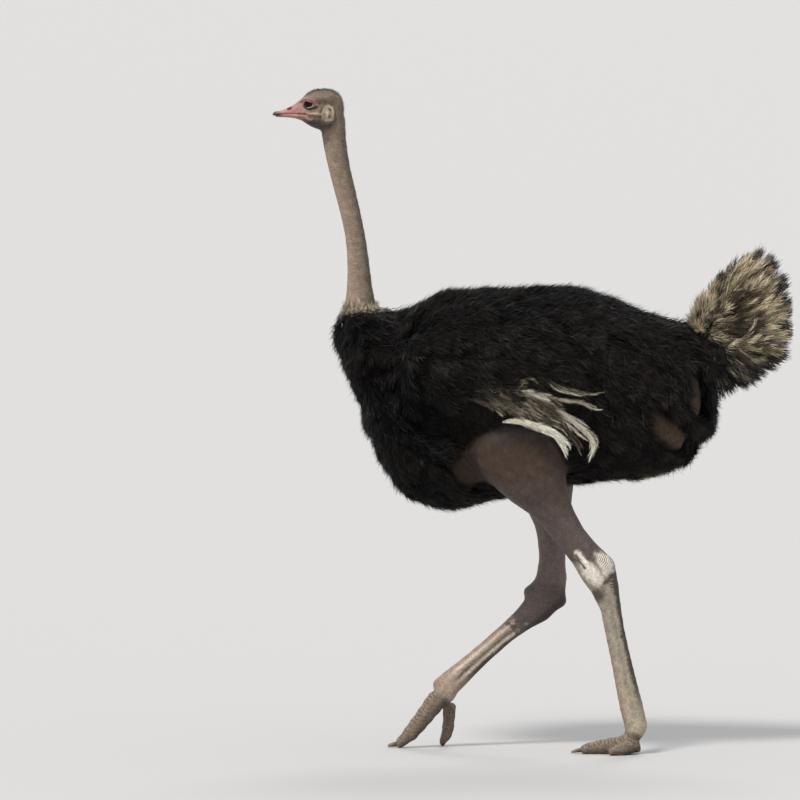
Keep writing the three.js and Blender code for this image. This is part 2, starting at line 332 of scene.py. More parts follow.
def set_surface(mesh, material):
    """Smooth shading and one material."""
    mesh.polygons.foreach_set("use_smooth", np.ones(len(mesh.polygons), bool))
    mesh.materials.clear()
    mesh.materials.append(material)


def finished(name, mesh, material, replaced=()):
    """The mesh as a piece of the still bird, with the CAD nodes that it takes the place of."""
    set_surface(mesh, material)
    piece = bpy.data.objects.new(name, mesh)
    scene.collection.objects.link(piece)
    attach(piece, "root")
    if replaced:
        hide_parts(*replaced)


# %% One surface from the solids of flesh
SKIN_VOXEL = 7 * MM
OVERLAP = 0.4 * MM  # closes the hairline gaps between neighbouring solids

KNUCKLE = 33 * MM  # radius of the joint between shank and toes
REGION_FADE = 7 * MM  # how softly one region of the skin passes into the next

flesh = [name for names in REGIONS.values() for name in names]
body_shape = merged_copy(flesh + ["eye_left", "eye_right"], OVERLAP)
knuckles = {}
for name in SIDES:
    shank_points = points_of(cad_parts[f"shank_{name}"].data)
    lowest = shank_points[shank_points[:, 2] < shank_points[:, 2].min() + 14 * MM]
    knuckles[name] = lowest.mean(0) + (0, 0, 10 * MM)
    ball = bmesh.ops.create_uvsphere(body_shape, u_segments=24, v_segments=16, radius=KNUCKLE)["verts"]
    bmesh.ops.translate(body_shape, verts=ball, vec=Vector(knuckles[name]))
skin_mesh = remeshed("skin", body_shape, SKIN_VOXEL)
skin_edges = edges_of(skin_mesh)
surface = points_of(skin_mesh)
reach = {region: distances(surface_tree(names), surface) for region, names in REGIONS.items()}
nearest = np.min(list(reach.values()), axis=0)
share = {region: np.exp(-((d - nearest) / REGION_FADE) ** 2) for region, d in reach.items()}
total_share = sum(share.values())
share = {region: s / total_share for region, s in share.items()}
print("skin", len(surface), "vertices before refinement")

# %% Smooth away the facets
LONG_SMOOTH = 90
SHORT_SMOOTH = 10
on_sole = surface[:, 2] < 1.5 * MM

fine_detail = np.clip(share["head"] + share["ear"] + share["bill"] + share["toe"], 0, 1)
surface = relax(surface, skin_edges, SHORT_SMOOTH)
surface = relax(surface, skin_edges, LONG_SMOOTH, 1 - fine_detail)
surface[on_sole, 2] = 0
surface[:, 2] = np.maximum(surface[:, 2], 0)
set_points(skin_mesh, surface)

# %% [markdown]
# ### The hollow under the wing
#
# The folded wing hangs over the flank with a free lower edge, and in front of the thigh the flank falls away
# beneath it. The smoothing softened that step, so the outline is pressed in along a line just under the edge.

# %% Press in the flank below the wing
HOLLOW = 50 * MM
HOLLOW_WIDTH = 46 * MM
# shares of the wing's length and height
WING_EDGE = [(-0.02, 0.62), (0.05, 0.34), (0.16, 0.22), (0.32, 0.14), (0.48, 0.05), (0.64, -0.02)]

on_wing_side = place_in(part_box("wing_left"))


def stroke(points, start, end, width, crisp=1.0):
    """A soft line seen from the side, from start to end."""
    start, end = np.array(start), np.array(end)
    flat = points[:, (0, 2)]
    along = end - start
    t = np.clip((flat - start) @ along / (along @ along), 0, 1)
    away = np.linalg.norm(flat - start - t[:, None] * along, axis=1)
    return np.exp(-((away / width) ** 2) ** crisp)


def strokes(points, places, width, crisp=1.0):
    """A soft line through several places."""
    return np.max([stroke(points, *ends, width, crisp) for ends in zip(places, places[1:])], axis=0)


def below_edge(points, drop, width):
    """1 along a line a little below the wing's free edge, fading to 0 at width."""
    return strokes(points, [on_wing_side(along - 0.35 * drop, up - drop) for along, up in WING_EDGE], width)


facing_side = ramp(np.abs(normals_of(skin_mesh)[:, 1]), 0.3, 0.7) * (share["trunk"] + share["wing"])
hollow = below_edge(surface, 0.16, HOLLOW_WIDTH) * facing_side * ramp(reach["thigh"], 5 * MM, 60 * MM)
surface[:, 1] -= np.sign(surface[:, 1]) * HOLLOW * hollow
surface = relax(surface, skin_edges, 6, np.clip(share["trunk"] + share["wing"], 0, 1))
outline_surface = surface.copy()
set_points(skin_mesh, surface)
outline_normals = normals_of(skin_mesh)
print("hollow of", round(float(hollow.max()) * HOLLOW, 3), "m under the wings")

# %% [markdown]
# ### Where feathers grow
#
# An ostrich has bare thighs, a bare patch of flank in front of each thigh, and bare folds beside the rump. The
# coat is deep on the trunk and deepest on the tail, and runs out towards the bare skin.

# %% Coat depth
COAT_DEPTH = {"trunk": 46 * MM, "wing": 34 * MM, "tail": 78 * MM}

thigh_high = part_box("drumstick_left")[1]
trunk_low, trunk_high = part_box("trunk")
trunk_length = trunk_high.x - trunk_low.x
trunk_height = trunk_high.z - trunk_low.z
on_trunk = place_in((trunk_low, trunk_high))

# centre, half length, half height and tilt of each bare patch
BARE_PATCHES = {
    "flank": (on_trunk(0.345, 0.20), 0.060, 0.095, -0.3),
    "rump": (on_trunk(0.870, 0.338), 0.052, 0.100, 0.75),
    "folds": (on_trunk(0.938, 0.505), 0.032, 0.086, 0.12),
}


def ellipse(points, centre, half_length, half_height, tilt=0.0):
    """Distance from the centre of an ellipse seen from the side, 1 on its edge."""
    dx = points[..., 0] - centre[0]
    dz = points[..., 2] - centre[1]
    along = dx * math.cos(tilt) + dz * math.sin(tilt)
    across = dz * math.cos(tilt) - dx * math.sin(tilt)
    return np.hypot(along / half_length, across / half_height)


def bare_patch(points, normals, grow=1.0):
    """1 inside the bare patches of both sides, and 0 outside them and where the body turns away."""
    inside = np.zeros(points.shape[:-1])
    ragged = 0.20 * patches(points, 0.05, 17) + 0.12 * patches(points * (1, 1, 0.4), 0.02, 18)
    for centre, half_length, half_height, tilt in BARE_PATCHES.values():
        size = ellipse(points, centre, half_length * grow, half_height * grow, tilt) + ragged
        inside = np.maximum(inside, ramp(-size, -1.25, -0.85))
    return inside * ramp(np.abs(normals[..., 1]), 0.35, 0.65)


clear_of_bare = np.minimum(ramp(reach["thigh"], 2 * MM, 46 * MM), ramp(reach["neck"], 2 * MM, 110 * MM))
feathered = share["trunk"] + share["wing"] + share["tail"]
coat_depth = sum(COAT_DEPTH[name] * share[name] for name in COAT_DEPTH)
coat_depth *= clear_of_bare * (1 - 0.55 * bare_patch(surface, outline_normals))
coat_depth *= 1 - 0.45 * ramp(-outline_normals[:, 2], 0.2, 0.8)  # a thinner coat on the underside
for _ in range(4):
    coat_depth = (coat_depth + neighbour_mean(coat_depth, skin_edges)) / 2
coat_depth *= ramp(feathered, 0.02, 0.5)

# %% Sink the skin under the coat
SINK_STEPS = 14

softness = 0.3 * ramp(coat_depth, 4 * MM, 30 * MM) + 0.7 * ramp(share["tail"], 0.2, 0.8)
for _ in range(SINK_STEPS):
    surface = surface - normals_of(skin_mesh) * (coat_depth / SINK_STEPS)[:, None]
    for _ in range(8):
        surface += softness[:, None] * (neighbour_mean(surface, skin_edges) - surface)
    set_points(skin_mesh, surface)
print("deepest coat", round(float(np.linalg.norm(outline_surface - surface, axis=1).max()), 3))

# %% [markdown]
# ### A lighter mesh under the coat
#
# Nobody sees the skin under the plumes, so its mesh is thinned there, and the faces saved go to the head, where
# the lids, the gape and the ear need a mesh of one to two millimetres. The sinking and smoothing above gave a
# full record of where feathers can root, so that is kept in arrays first.

# %% Keep the rooting ground
skin_mesh.calc_loop_triangles()
ground_faces = np.empty(len(skin_mesh.loop_triangles) * 3, np.int32)
skin_mesh.loop_triangles.foreach_get("vertices", ground_faces)
ground_faces = ground_faces.reshape(-1, 3)
ground_points = surface.copy()
ground_share = {**share, "feathered": feathered, "depth": coat_depth}
ground_tree = BVHTree.FromPolygons(outline_surface.tolist(), ground_faces.tolist())

# %% Thin the covered skin
THINNED = 0.09  # share of the covered faces that stays

covered = ramp(coat_depth, 10 * MM, 24 * MM)
skin = bpy.data.objects.new("skin", skin_mesh)
scene.collection.objects.link(skin)
group = skin.vertex_groups.new(name="covered")
for level in (0.25, 0.5, 0.75, 1.0):
    chosen = np.nonzero(np.abs(np.ceil(covered * 4) / 4 - level) < 0.01)[0]
    group.add(chosen.tolist(), level, "REPLACE")
thin = skin.modifiers.new("Thin", "DECIMATE")
thin.ratio = THINNED + (1 - THINNED) * float((covered < 0.2).mean())
thin.vertex_group = "covered"
thin.vertex_group_factor = 10.0
graph = bpy.context.evaluated_depsgraph_get()
thinned = bpy.data.meshes.new_from_object(skin.evaluated_get(graph))
skin.modifiers.clear()
skin.vertex_groups.clear()
skin.data = thinned
bpy.data.meshes.remove(skin_mesh)
thinned.name = "skin"
skin_mesh = thinned
print("thinned skin", len(skin_mesh.vertices), "vertices", len(skin_mesh.polygons), "faces")

# %% Carry the regions over and refine the head and feet
ground_lookup = KDTree(len(ground_points))
for index, point in enumerate(ground_points.tolist()):
    ground_lookup.insert(point, index)
ground_lookup.balance()
source = np.array([ground_lookup.find(p)[1] for p in points_of(skin_mesh).tolist()])
for region, values in ground_share.items():
    set_attribute(skin_mesh, region, values[source])

EYE = middle("eye_left") * (1, 0, 1)  # on the middle plane, to serve both sides
EYE_OUT = abs(middle("eye_left")[1])
EYE_RADIUS = (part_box("eye_left")[1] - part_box("eye_left")[0]).x / 2
EAR = middle("ear_left") * (1, 0, 1)
BILL_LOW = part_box("bill_upper")[0]
FACE_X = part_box("head")[0].x  # where the horn of the bill meets the face
GAPE_Z = (BILL_LOW.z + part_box("bill_lower")[1].z) / 2


def refine(mesh, wanted):
    """Cuts every face inside the wanted region in four."""
    shape = bmesh.new()
    shape.from_mesh(mesh)
    points = np.array([v.co[:] for v in shape.verts])
    inside = wanted(mesh, points)
    shape.verts.ensure_lookup_table()
    faces = [f for f in shape.faces if all(inside[v.index] for v in f.verts)]
    edges = {e for f in faces for e in f.edges}
    bmesh.ops.subdivide_edges(shape, edges=list(edges), cuts=1, use_grid_fill=True)
    shape.to_mesh(mesh)
    shape.free()
    mesh.update()


def head_part(mesh, points):
    parts = attribute(mesh, "head") + attribute(mesh, "ear") + attribute(mesh, "bill")
    return parts > 0.45


def fine_part(mesh, points):
    return (attribute(mesh, "toe") > 0.5) | head_part(mesh, points)


def eye_part(mesh, points):
    out = np.abs(points[:, 1]) > 0.6 * EYE_OUT
    return out & (np.hypot(*(points - EYE)[:, (0, 2)].T) < 1.35 * EYE_RADIUS)


for part, rounds in ((fine_part, 3), (head_part, 4)):
    refine(skin_mesh, part)
    set_points(skin_mesh, relax(points_of(skin_mesh), edges_of(skin_mesh), rounds, part(skin_mesh, None)))
refine(skin_mesh, eye_part)

TOE_UP = np.array((-0.5, 0.0, 0.85))  # roughly the direction in which the top of the toes faces


def toe_top(mesh, points):
    return (attribute(mesh, "toe") > 0.5) & (normals_of(mesh) @ TOE_UP > 0.15)


HOCK = place_in(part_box("shank_left"))(0.3525, 0.957)  # middle of the near hock
FAR_HOCK = place_in(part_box("shank_right"))(0.8365, 0.890)
HOCK_REACH = 78 * MM  # radius of the finer skin round the near hock


def hock_part(mesh, points):
    near = np.hypot(points[:, 0] - HOCK[0], points[:, 2] - HOCK[1]) < HOCK_REACH
    return near & (points[:, 1] < 0) & (normals_of(mesh)[:, 1] < -0.1)


for part in (toe_top, hock_part, hock_part):
    refine(skin_mesh, part)
print("refined skin", len(skin_mesh.vertices), "vertices", len(skin_mesh.polygons), "faces")

# %% [markdown]
# ### The head
#
# The head is where the eye of the visitor goes first. The CAD gives its outline, and this step sculpts what lies
# within: lids round an almond opening, the brow that stands out over the eye, the fold of the gape, the ridge
# that runs from it to the ear, and the ear with its rim and two dark openings. Each feature is a soft ellipse
# seen from the side, placed from the eye, the ear or the bill, and pushed out of or into the skin.

# %% Sculpting tools
skin_points = points_of(skin_mesh)
head_share = attribute(skin_mesh, "head") + attribute(skin_mesh, "ear") + attribute(skin_mesh, "bill")
head_share = np.clip(head_share, 0, 1)
on_side = ramp(np.abs(skin_points[:, 1]), 4 * MM, 14 * MM)


def mound(points, centre, length, height, tilt=0.0, crisp=1.0):
    """A soft ellipse seen from the side: 1 in the middle, fading to 0 past its edge."""
    return np.exp(-ellipse(points, centre, length, height, tilt) ** (2 * crisp))


def beside(landmark, back, up):
    """A place on the head, in millimetres behind and above a landmark."""
    return landmark[0] + back * MM, landmark[2] + up * MM


GAPE_END = (EYE[0] - 7 * MM, GAPE_Z - 1 * MM)
EAR_FRONT = beside(EAR, -21, 0)


def soft_line(start, end, width):
    return stroke(skin_points, start, end, width * MM)


def soft_form(back, up, length, height, tilt, mark=EYE):
    """A soft ellipse, in millimetres from a landmark."""
    return mound(skin_points, beside(mark, back, up), length * MM, height * MM, tilt)


# height in millimetres, and where
HEAD_FORMS = [
    (2.2, soft_form(3, 15, 21, 5, -0.20)),  # brow
    (-1.2, soft_form(2, 21, 24, 3.5, -0.15)),  # hollow above the brow
    (-2.0, soft_form(31, 0, 9, 12, 0.3)),  # temple, behind the eye
    (-2.4, soft_form(-24, -6, 12, 9, 0.4)),  # lore, in front of the eye
    (1.6, soft_form(4, -22, 20, 5, 0.1)),  # cheek bone under the eye
    (-3.0, soft_line((FACE_X - 6 * MM, GAPE_Z), GAPE_END, 2.0)),  # gape
    (1.5, soft_line((FACE_X, GAPE_Z + 5 * MM), beside(EYE, -10, -27), 2.6)),  # upper lip
    (1.6, soft_line((FACE_X, GAPE_Z - 6 * MM), beside(EYE, -6, -40), 3.2)),  # lower lip
    (2.0, soft_line(GAPE_END, EAR_FRONT, 2.4)),  # ridge from gape to ear
    (-1.5, soft_line(beside(EYE, -4, -39), beside(EAR, -24, -12), 3.0)),  # furrow below it
    (-1.8, soft_line(beside(EAR, -20, 20), beside(EAR, -24, -22), 2.2)),  # crease before the ear
    (-2.2, soft_line(beside(EAR, -6, -32), beside(EAR, 20, -10), 3.0)),  # crease behind the jaw
    (-1.6, soft_line(beside(EYE, -1, -19), beside(EYE, 24, -12), 3.0)),  # pouch below the eye
    (1.2, soft_line(beside(EYE, 0, -25), beside(EYE, 28, -19), 2.6)),  # fold under the pouch
    (-1.3, soft_line(beside(EYE, 22, 8), beside(EYE, 27, -8), 2.2)),  # wrinkle behind the eye
    (-1.2, soft_line(beside(EYE, 30, 12), beside(EYE, 60, 6), 3.0)),  # furrow over the ear
    (-1.4, soft_line(beside(EYE, 0, -46), beside(EYE, 16, -64), 3.0)),  # corner of the jaw
]

# %% Ear
def ear_outline(points):
    """Distance from the middle of the ear, 1 on its uneven edge."""
    around = np.arctan2(points[:, 2] - EAR[2], points[:, 0] - EAR[0])
    uneven = 1 + 0.05 * np.sin(3 * around + 0.6) + 0.035 * np.sin(5 * around + 2.0)
    return ellipse(points, (EAR[0], EAR[2]), 20 * MM, 27 * MM, -0.16) * uneven


ear_size = ear_outline(skin_points)
EAR_HOLES = [(beside(EAR, 7, 15), 3.0 * MM, 6.0 * MM, 0.5), (beside(EAR, 4, -11), 3.2 * MM, 6.0 * MM, -0.3)]
ear_holes = sum(mound(skin_points, *hole, crisp=2) for hole in EAR_HOLES)
HEAD_FORMS += [
    (1.7, bell(ear_size, 0.88, 0.15)),  # rim
    (-1.2, bell(ear_size, 1.20, 0.14)),  # hollow round the rim
    (-2.2, np.exp(-((ear_size / 0.62) ** 4))),  # dish
    (1.6, soft_form(-2, 3, 5, 11, 0.2, EAR)),  # fold in the dish
    (-3.2, ear_holes),  # openings
]
lift = sum(height * MM * shape for height, shape in HEAD_FORMS)
skin_points += normals_of(skin_mesh) * (lift * head_share * on_side)[:, None]
set_points(skin_mesh, skin_points)

# %% Lids
LID = 1.7 * MM  # thickness of the lids
LID_LONG, LID_HIGH = 14.0 * MM, 10.0 * MM  # half the length and height of the opening
LID_SLOPE = 0.30  # the upper lid comes down towards the back
LID_TOP = 6.0 * MM

gaze = np.stack([EYE + (0, side * EYE_OUT, 0) for side in SIDES.values()])
side_index = (skin_points[:, 1] > 0).astype(int)
from_eye = skin_points - gaze[side_index]
eye_distance = np.linalg.norm(from_eye, axis=1)
lid_round = np.hypot(from_eye[:, 0] / LID_LONG, from_eye[:, 2] / LID_HIGH) - 1
lid_upper = (from_eye[:, 2] - LID_TOP + LID_SLOPE * from_eye[:, 0]) / LID_HIGH
opening = np.maximum(lid_round, lid_upper)  # below 0 in the opening, 0 on the edge of the lids
outward = np.abs(skin_points[:, 1]) > EYE_OUT
near_eye = outward & (opening < 2.2) & (head_share > 0.5)

wrinkles = 0.35 * MM * np.cos(opening * 14) * np.exp(-opening / 0.8)
closed = np.maximum(eye_distance, EYE_RADIUS + LID) + wrinkles
closed += 0.9 * MM * bell(opening, 0.16, 0.14)  # thick edge of the lids
closed -= 1.3 * MM * bell(opening, 0.48, 0.13)  # crease beyond it
shut = ramp(opening, -0.10, 0.06)
lidded = closed * shut + (EYE_RADIUS - 3.5 * MM) * (1 - shut)
scale = np.where(near_eye, lidded / np.maximum(eye_distance, 1e-6), 1.0)
skin_points = gaze[side_index] + from_eye * scale[:, None]
set_points(skin_mesh, skin_points)
print("lids shaped on", int(near_eye.sum()), "vertices")

# %% Skin over the root of the bill
NOSTRIL = (FACE_X - 28 * MM, GAPE_Z + 19 * MM)  # the recess in the solid
NOSTRIL_DROP = 3.4 * MM  # how much lower it opens on the flank of the bill
bill_share = attribute(skin_mesh, "bill")
behind_tip = ramp(skin_points[:, 0], FACE_X - 14 * MM, FACE_X - 2 * MM)
over_horn = (-2.6 + 3.4 * behind_tip) * MM * ramp(bill_share, 0.05, 0.6)
skin_points += normals_of(skin_mesh) * over_horn[:, None]
set_points(skin_mesh, skin_points)

# %% [markdown]
# ### Hocks, shanks and toes
#
# The legs are bare. Folds cross the hock, a tendon stands out behind the shank, and broad scutes cross the front
# of the shank and the top of the toes. The soles stay flat on the floor.

# %% Coordinates along each shank
shank_share = attribute(skin_mesh, "shank")
toe_share = attribute(skin_mesh, "toe")
skin_normals = normals_of(skin_mesh)
up_shank = np.full(len(skin_points), -1.0)  # 0 at the toes, 1 at the hock
rear_shank = np.zeros(len(skin_points))  # -1 on the front edge, 1 on the rear edge
same_leg = {name: (np.sign(skin_points[:, 1]) == side) for name, side in SIDES.items()}
bins = np.linspace(-0.1, 1.3, 29)
for name in SIDES:
    mine = same_leg[name] & (shank_share > 0.5)
    at_hock = mine & (attribute(skin_mesh, "thigh") > 0.2)
    hock_centre = skin_points[at_hock].mean(0)[[0, 2]]
    foot_centre = knuckles[name][[0, 2]]
    axis = hock_centre - foot_centre
    rearwards = np.array((axis[1], -axis[0])) / np.linalg.norm(axis)
    flat = skin_points[:, (0, 2)] - foot_centre
    up = flat @ axis / (axis @ axis)
    across = flat @ rearwards
    leg = same_leg[name] & (up > -0.15) & (up < 1.4) & (np.abs(across) < 0.09)
    middles = [across[mine & (np.abs(up - level) < 0.05)] for level in bins]
    centre = np.array([(m.min() + m.max()) / 2 if len(m) else np.nan for m in middles])
    width = np.array([(m.max() - m.min()) / 2 if len(m) else np.nan for m in middles])
    known = ~np.isnan(centre)
    centre_here = np.interp(up, bins[known], centre[known])
    width_here = np.interp(up, bins[known], width[known])
    up_shank = np.where(leg, up, up_shank)
    rear_shank = np.where(leg, (across - centre_here) / width_here, rear_shank)
print("shank coordinates on", int((up_shank > 0).sum()), "vertices")

# %% Coordinates along each toe
toe_step = np.zeros(len(skin_points))  # metres along the toe that a vertex belongs to
toe_gap = np.full(len(skin_points), np.inf)
near_foot = toe_share > 0.02
for name in BARE["toe"]:
    shape = points_of(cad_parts[name].data)
    axis = np.linalg.eigh(np.cov(shape.T))[1][:, -1]
    gap = np.full(len(skin_points), np.inf)
    gap[near_foot] = distances(surface_tree([name]), skin_points[near_foot])
    toe_step = np.where(gap < toe_gap, (skin_points - shape.mean(0)) @ axis, toe_step)
    toe_gap = np.minimum(gap, toe_gap)
print("toe coordinates on", int(near_foot.sum()), "vertices")

# %% Legs
SCUTES = 22  # plates across the front of a shank
TOE_PLATE = 12 * MM  # length of a plate on a toe
TOE_JOINT = 38 * MM  # from joint to joint of a toe
HOCK_FOLD = 6.5 * MM  # from fold to fold across the near hock
leg_lift = np.zeros(len(skin_points))
faces_side = ramp(np.abs(skin_normals[:, 1]), 0.35, 0.75)
in_middle = ramp(up_shank, 0.06, 0.2) * (1 - ramp(up_shank, 0.72, 0.95))
leg_lift -= 3.4 * MM * bell(rear_shank, 0.12, 0.20) * faces_side * in_middle  # groove
leg_lift += 1.4 * MM * bell(rear_shank, 0.55, 0.22) * faces_side * in_middle  # tendon
ahead = ramp(-rear_shank, 0.45, 0.9) * ramp(up_shank, 0.0, 0.1) * (1 - ramp(up_shank, 0.78, 0.90))
plate_count = np.where(toe_share > 0.5, toe_step / TOE_PLATE, up_shank * SCUTES)
plate_count += 0.3 * patches(skin_points, 0.030, 27) + 0.15 * patches(skin_points, 0.012, 28)
plated = np.where(toe_share > 0.5, ramp(skin_normals @ TOE_UP, 0.1, 0.5), 0.45 * ahead * shank_share)
plate_seams = np.abs(((plate_count % 1) - 0.5) * 2) ** 4
leg_lift -= 0.7 * MM * plate_seams * plated
leg_lift += 0.8 * MM * np.cos(2 * math.pi * toe_step / TOE_JOINT) * toe_share
leg_lift += 4.0 * MM * bell(up_shank, 0.97, 0.085) * bell(rear_shank, -0.35, 0.45)  # hock
leg_lift -= 2.5 * MM * bell(up_shank, 0.84, 0.05) * ramp(-rear_shank, 0.1, 0.9)  # hollow below it


def hock_rules(points):
    """Fine folds that cross the upper rear of the hock."""
    bowed = 2.2 * MM * patches(points, 0.04, 29)
    return np.cos(2 * math.pi * (0.87 * points[:, 0] - 0.5 * points[:, 2] + bowed) / HOCK_FOLD)


def by_hock(back, up):
    """A place on the near hock, in millimetres behind and above its middle."""
    return HOCK[0] + back * MM, HOCK[1] + up * MM


ruled = mound(skin_points, by_hock(18, 32), 30 * MM, 17 * MM, -0.69, 2) * same_leg["left"]
leg_lift += 0.8 * MM * hock_rules(skin_points) * ruled * faces_side
free = ramp(skin_points[:, 2], 1 * MM, 8 * MM)
skin_points += skin_normals * (leg_lift * free)[:, None]
# the far hock: place from its middle, radius and push, all in millimetres
for back, up, radius, push_back, push_up in ((-45, 23, 24, -16, 3), (64, -19, 26, 9, -6)):
    away = np.hypot(skin_points[:, 0] - FAR_HOCK[0] - back * MM, skin_points[:, 2] - FAR_HOCK[1] - up * MM)
    near = np.exp(-((away / (radius * MM)) ** 2)) * same_leg["right"]
    skin_points += near[:, None] * (push_back * MM, 0, push_up * MM)
skin_points[:, 2] = np.maximum(skin_points[:, 2], 0)
set_points(skin_mesh, skin_points)
set_attribute(skin_mesh, "plates", plate_count)
set_attribute(skin_mesh, "plated", plated)

# %% [markdown]
# ## Markings of the skin
#
# The colours follow the anatomy: pink at the bill, red round the eye, a cream ear, a darker nape, grey-brown
# thighs, and pale scutes with dark seams below the hock. They are worked out for every vertex from the same
# landmarks as the sculpting and kept in a colour attribute. The material then breaks them up with mottling and
# wrinkles at a finer scale than the mesh.
# Not all of these colours are the skin's own. The lighter front and darker nape of the neck are partly painted
# light and shade, and painted shade darkens the throat under the jaw, the corners and pouch of the eye, the
# hollows and openings of the ear, the nostril, the bare flank, the tops of the thighs, the backs and grooves of
# the shanks, the far heel, the undersides of the toes and the skin under the coat. Painted highlights lie on the
# fold of the ear and the ridges of the far shank, and painted light on the lower far thigh.

# %% Paint tools
def paint(base, tint, amount):
    """Lays a tint over a colour, by an amount from 0 to 1 for every vertex."""
    amount = np.clip(amount, 0, 1)[..., None]
    return base * (1 - amount) + np.asarray(tint) * amount


NECK_PINK = colour(152, 131, 114)
NECK_GREY = colour(114, 103, 88)
NAPE_DARK = colour(74, 68, 59)
FACE_PINK = colour(160, 116, 110)
FACE_PALE = colour(146, 128, 110)
RIDGE_CREAM = colour(184, 152, 126)
# the dark red lining of the nostril, deepened as painted shade in its recess
NOSTRIL_RED_AND_SHADE = colour(84, 28, 36)
LID_PINK = colour(176, 122, 128)
EYE_RED = colour(168, 76, 88)
# dark brown of the temple and crown, also used as painted shade behind and below the ear, in the eye's front
# corner, round the ear's rim and in the crease before the ear
TEMPLE_DARK = colour(58, 44, 40)
# brown painted shade under the jaw, down the throat and before the ear
FACE_SHADE_BROWN = colour(62, 50, 44)
# painted shade in the corners of the eye and under the lower lid
LID_SHADOW = colour(38, 27, 25)
EAR_CREAM = colour(140, 128, 110)
EAR_BRIGHT = colour(196, 188, 170)
# painted shade in the ear's two openings
EAR_OPENING_SHADE = colour(62, 42, 36)
CROWN_BROWN = colour(134, 121, 107)
# the top of the thigh: partly its own browner tone, partly painted shade under the body and the wing
THIGH_SHADED_BROWN = colour(66, 50, 40)
THIGH_GREY = colour(90, 79, 75)
SHANK_PALE = colour(158, 149, 134)
SHANK_YELLOW = colour(170, 157, 138)
SHANK_TAN = colour(162, 143, 126)
SHANK_PINK = colour(150, 120, 104)
SHANK_DARK = colour(60, 49, 42)
HOCK_WHITE = colour(240, 230, 218)
BELLY_BROWN = colour(68, 50, 33)
# near black: painted shade, for the skin in the gaps of the coat and at the tops of the thighs
SKIN_IN_SHADE = colour(14, 12, 11)
TOE_BROWN = colour(138, 122, 106)
# painted shade on the undersides of the toes
TOE_UNDERSIDE_SHADE = colour(58, 50, 44)


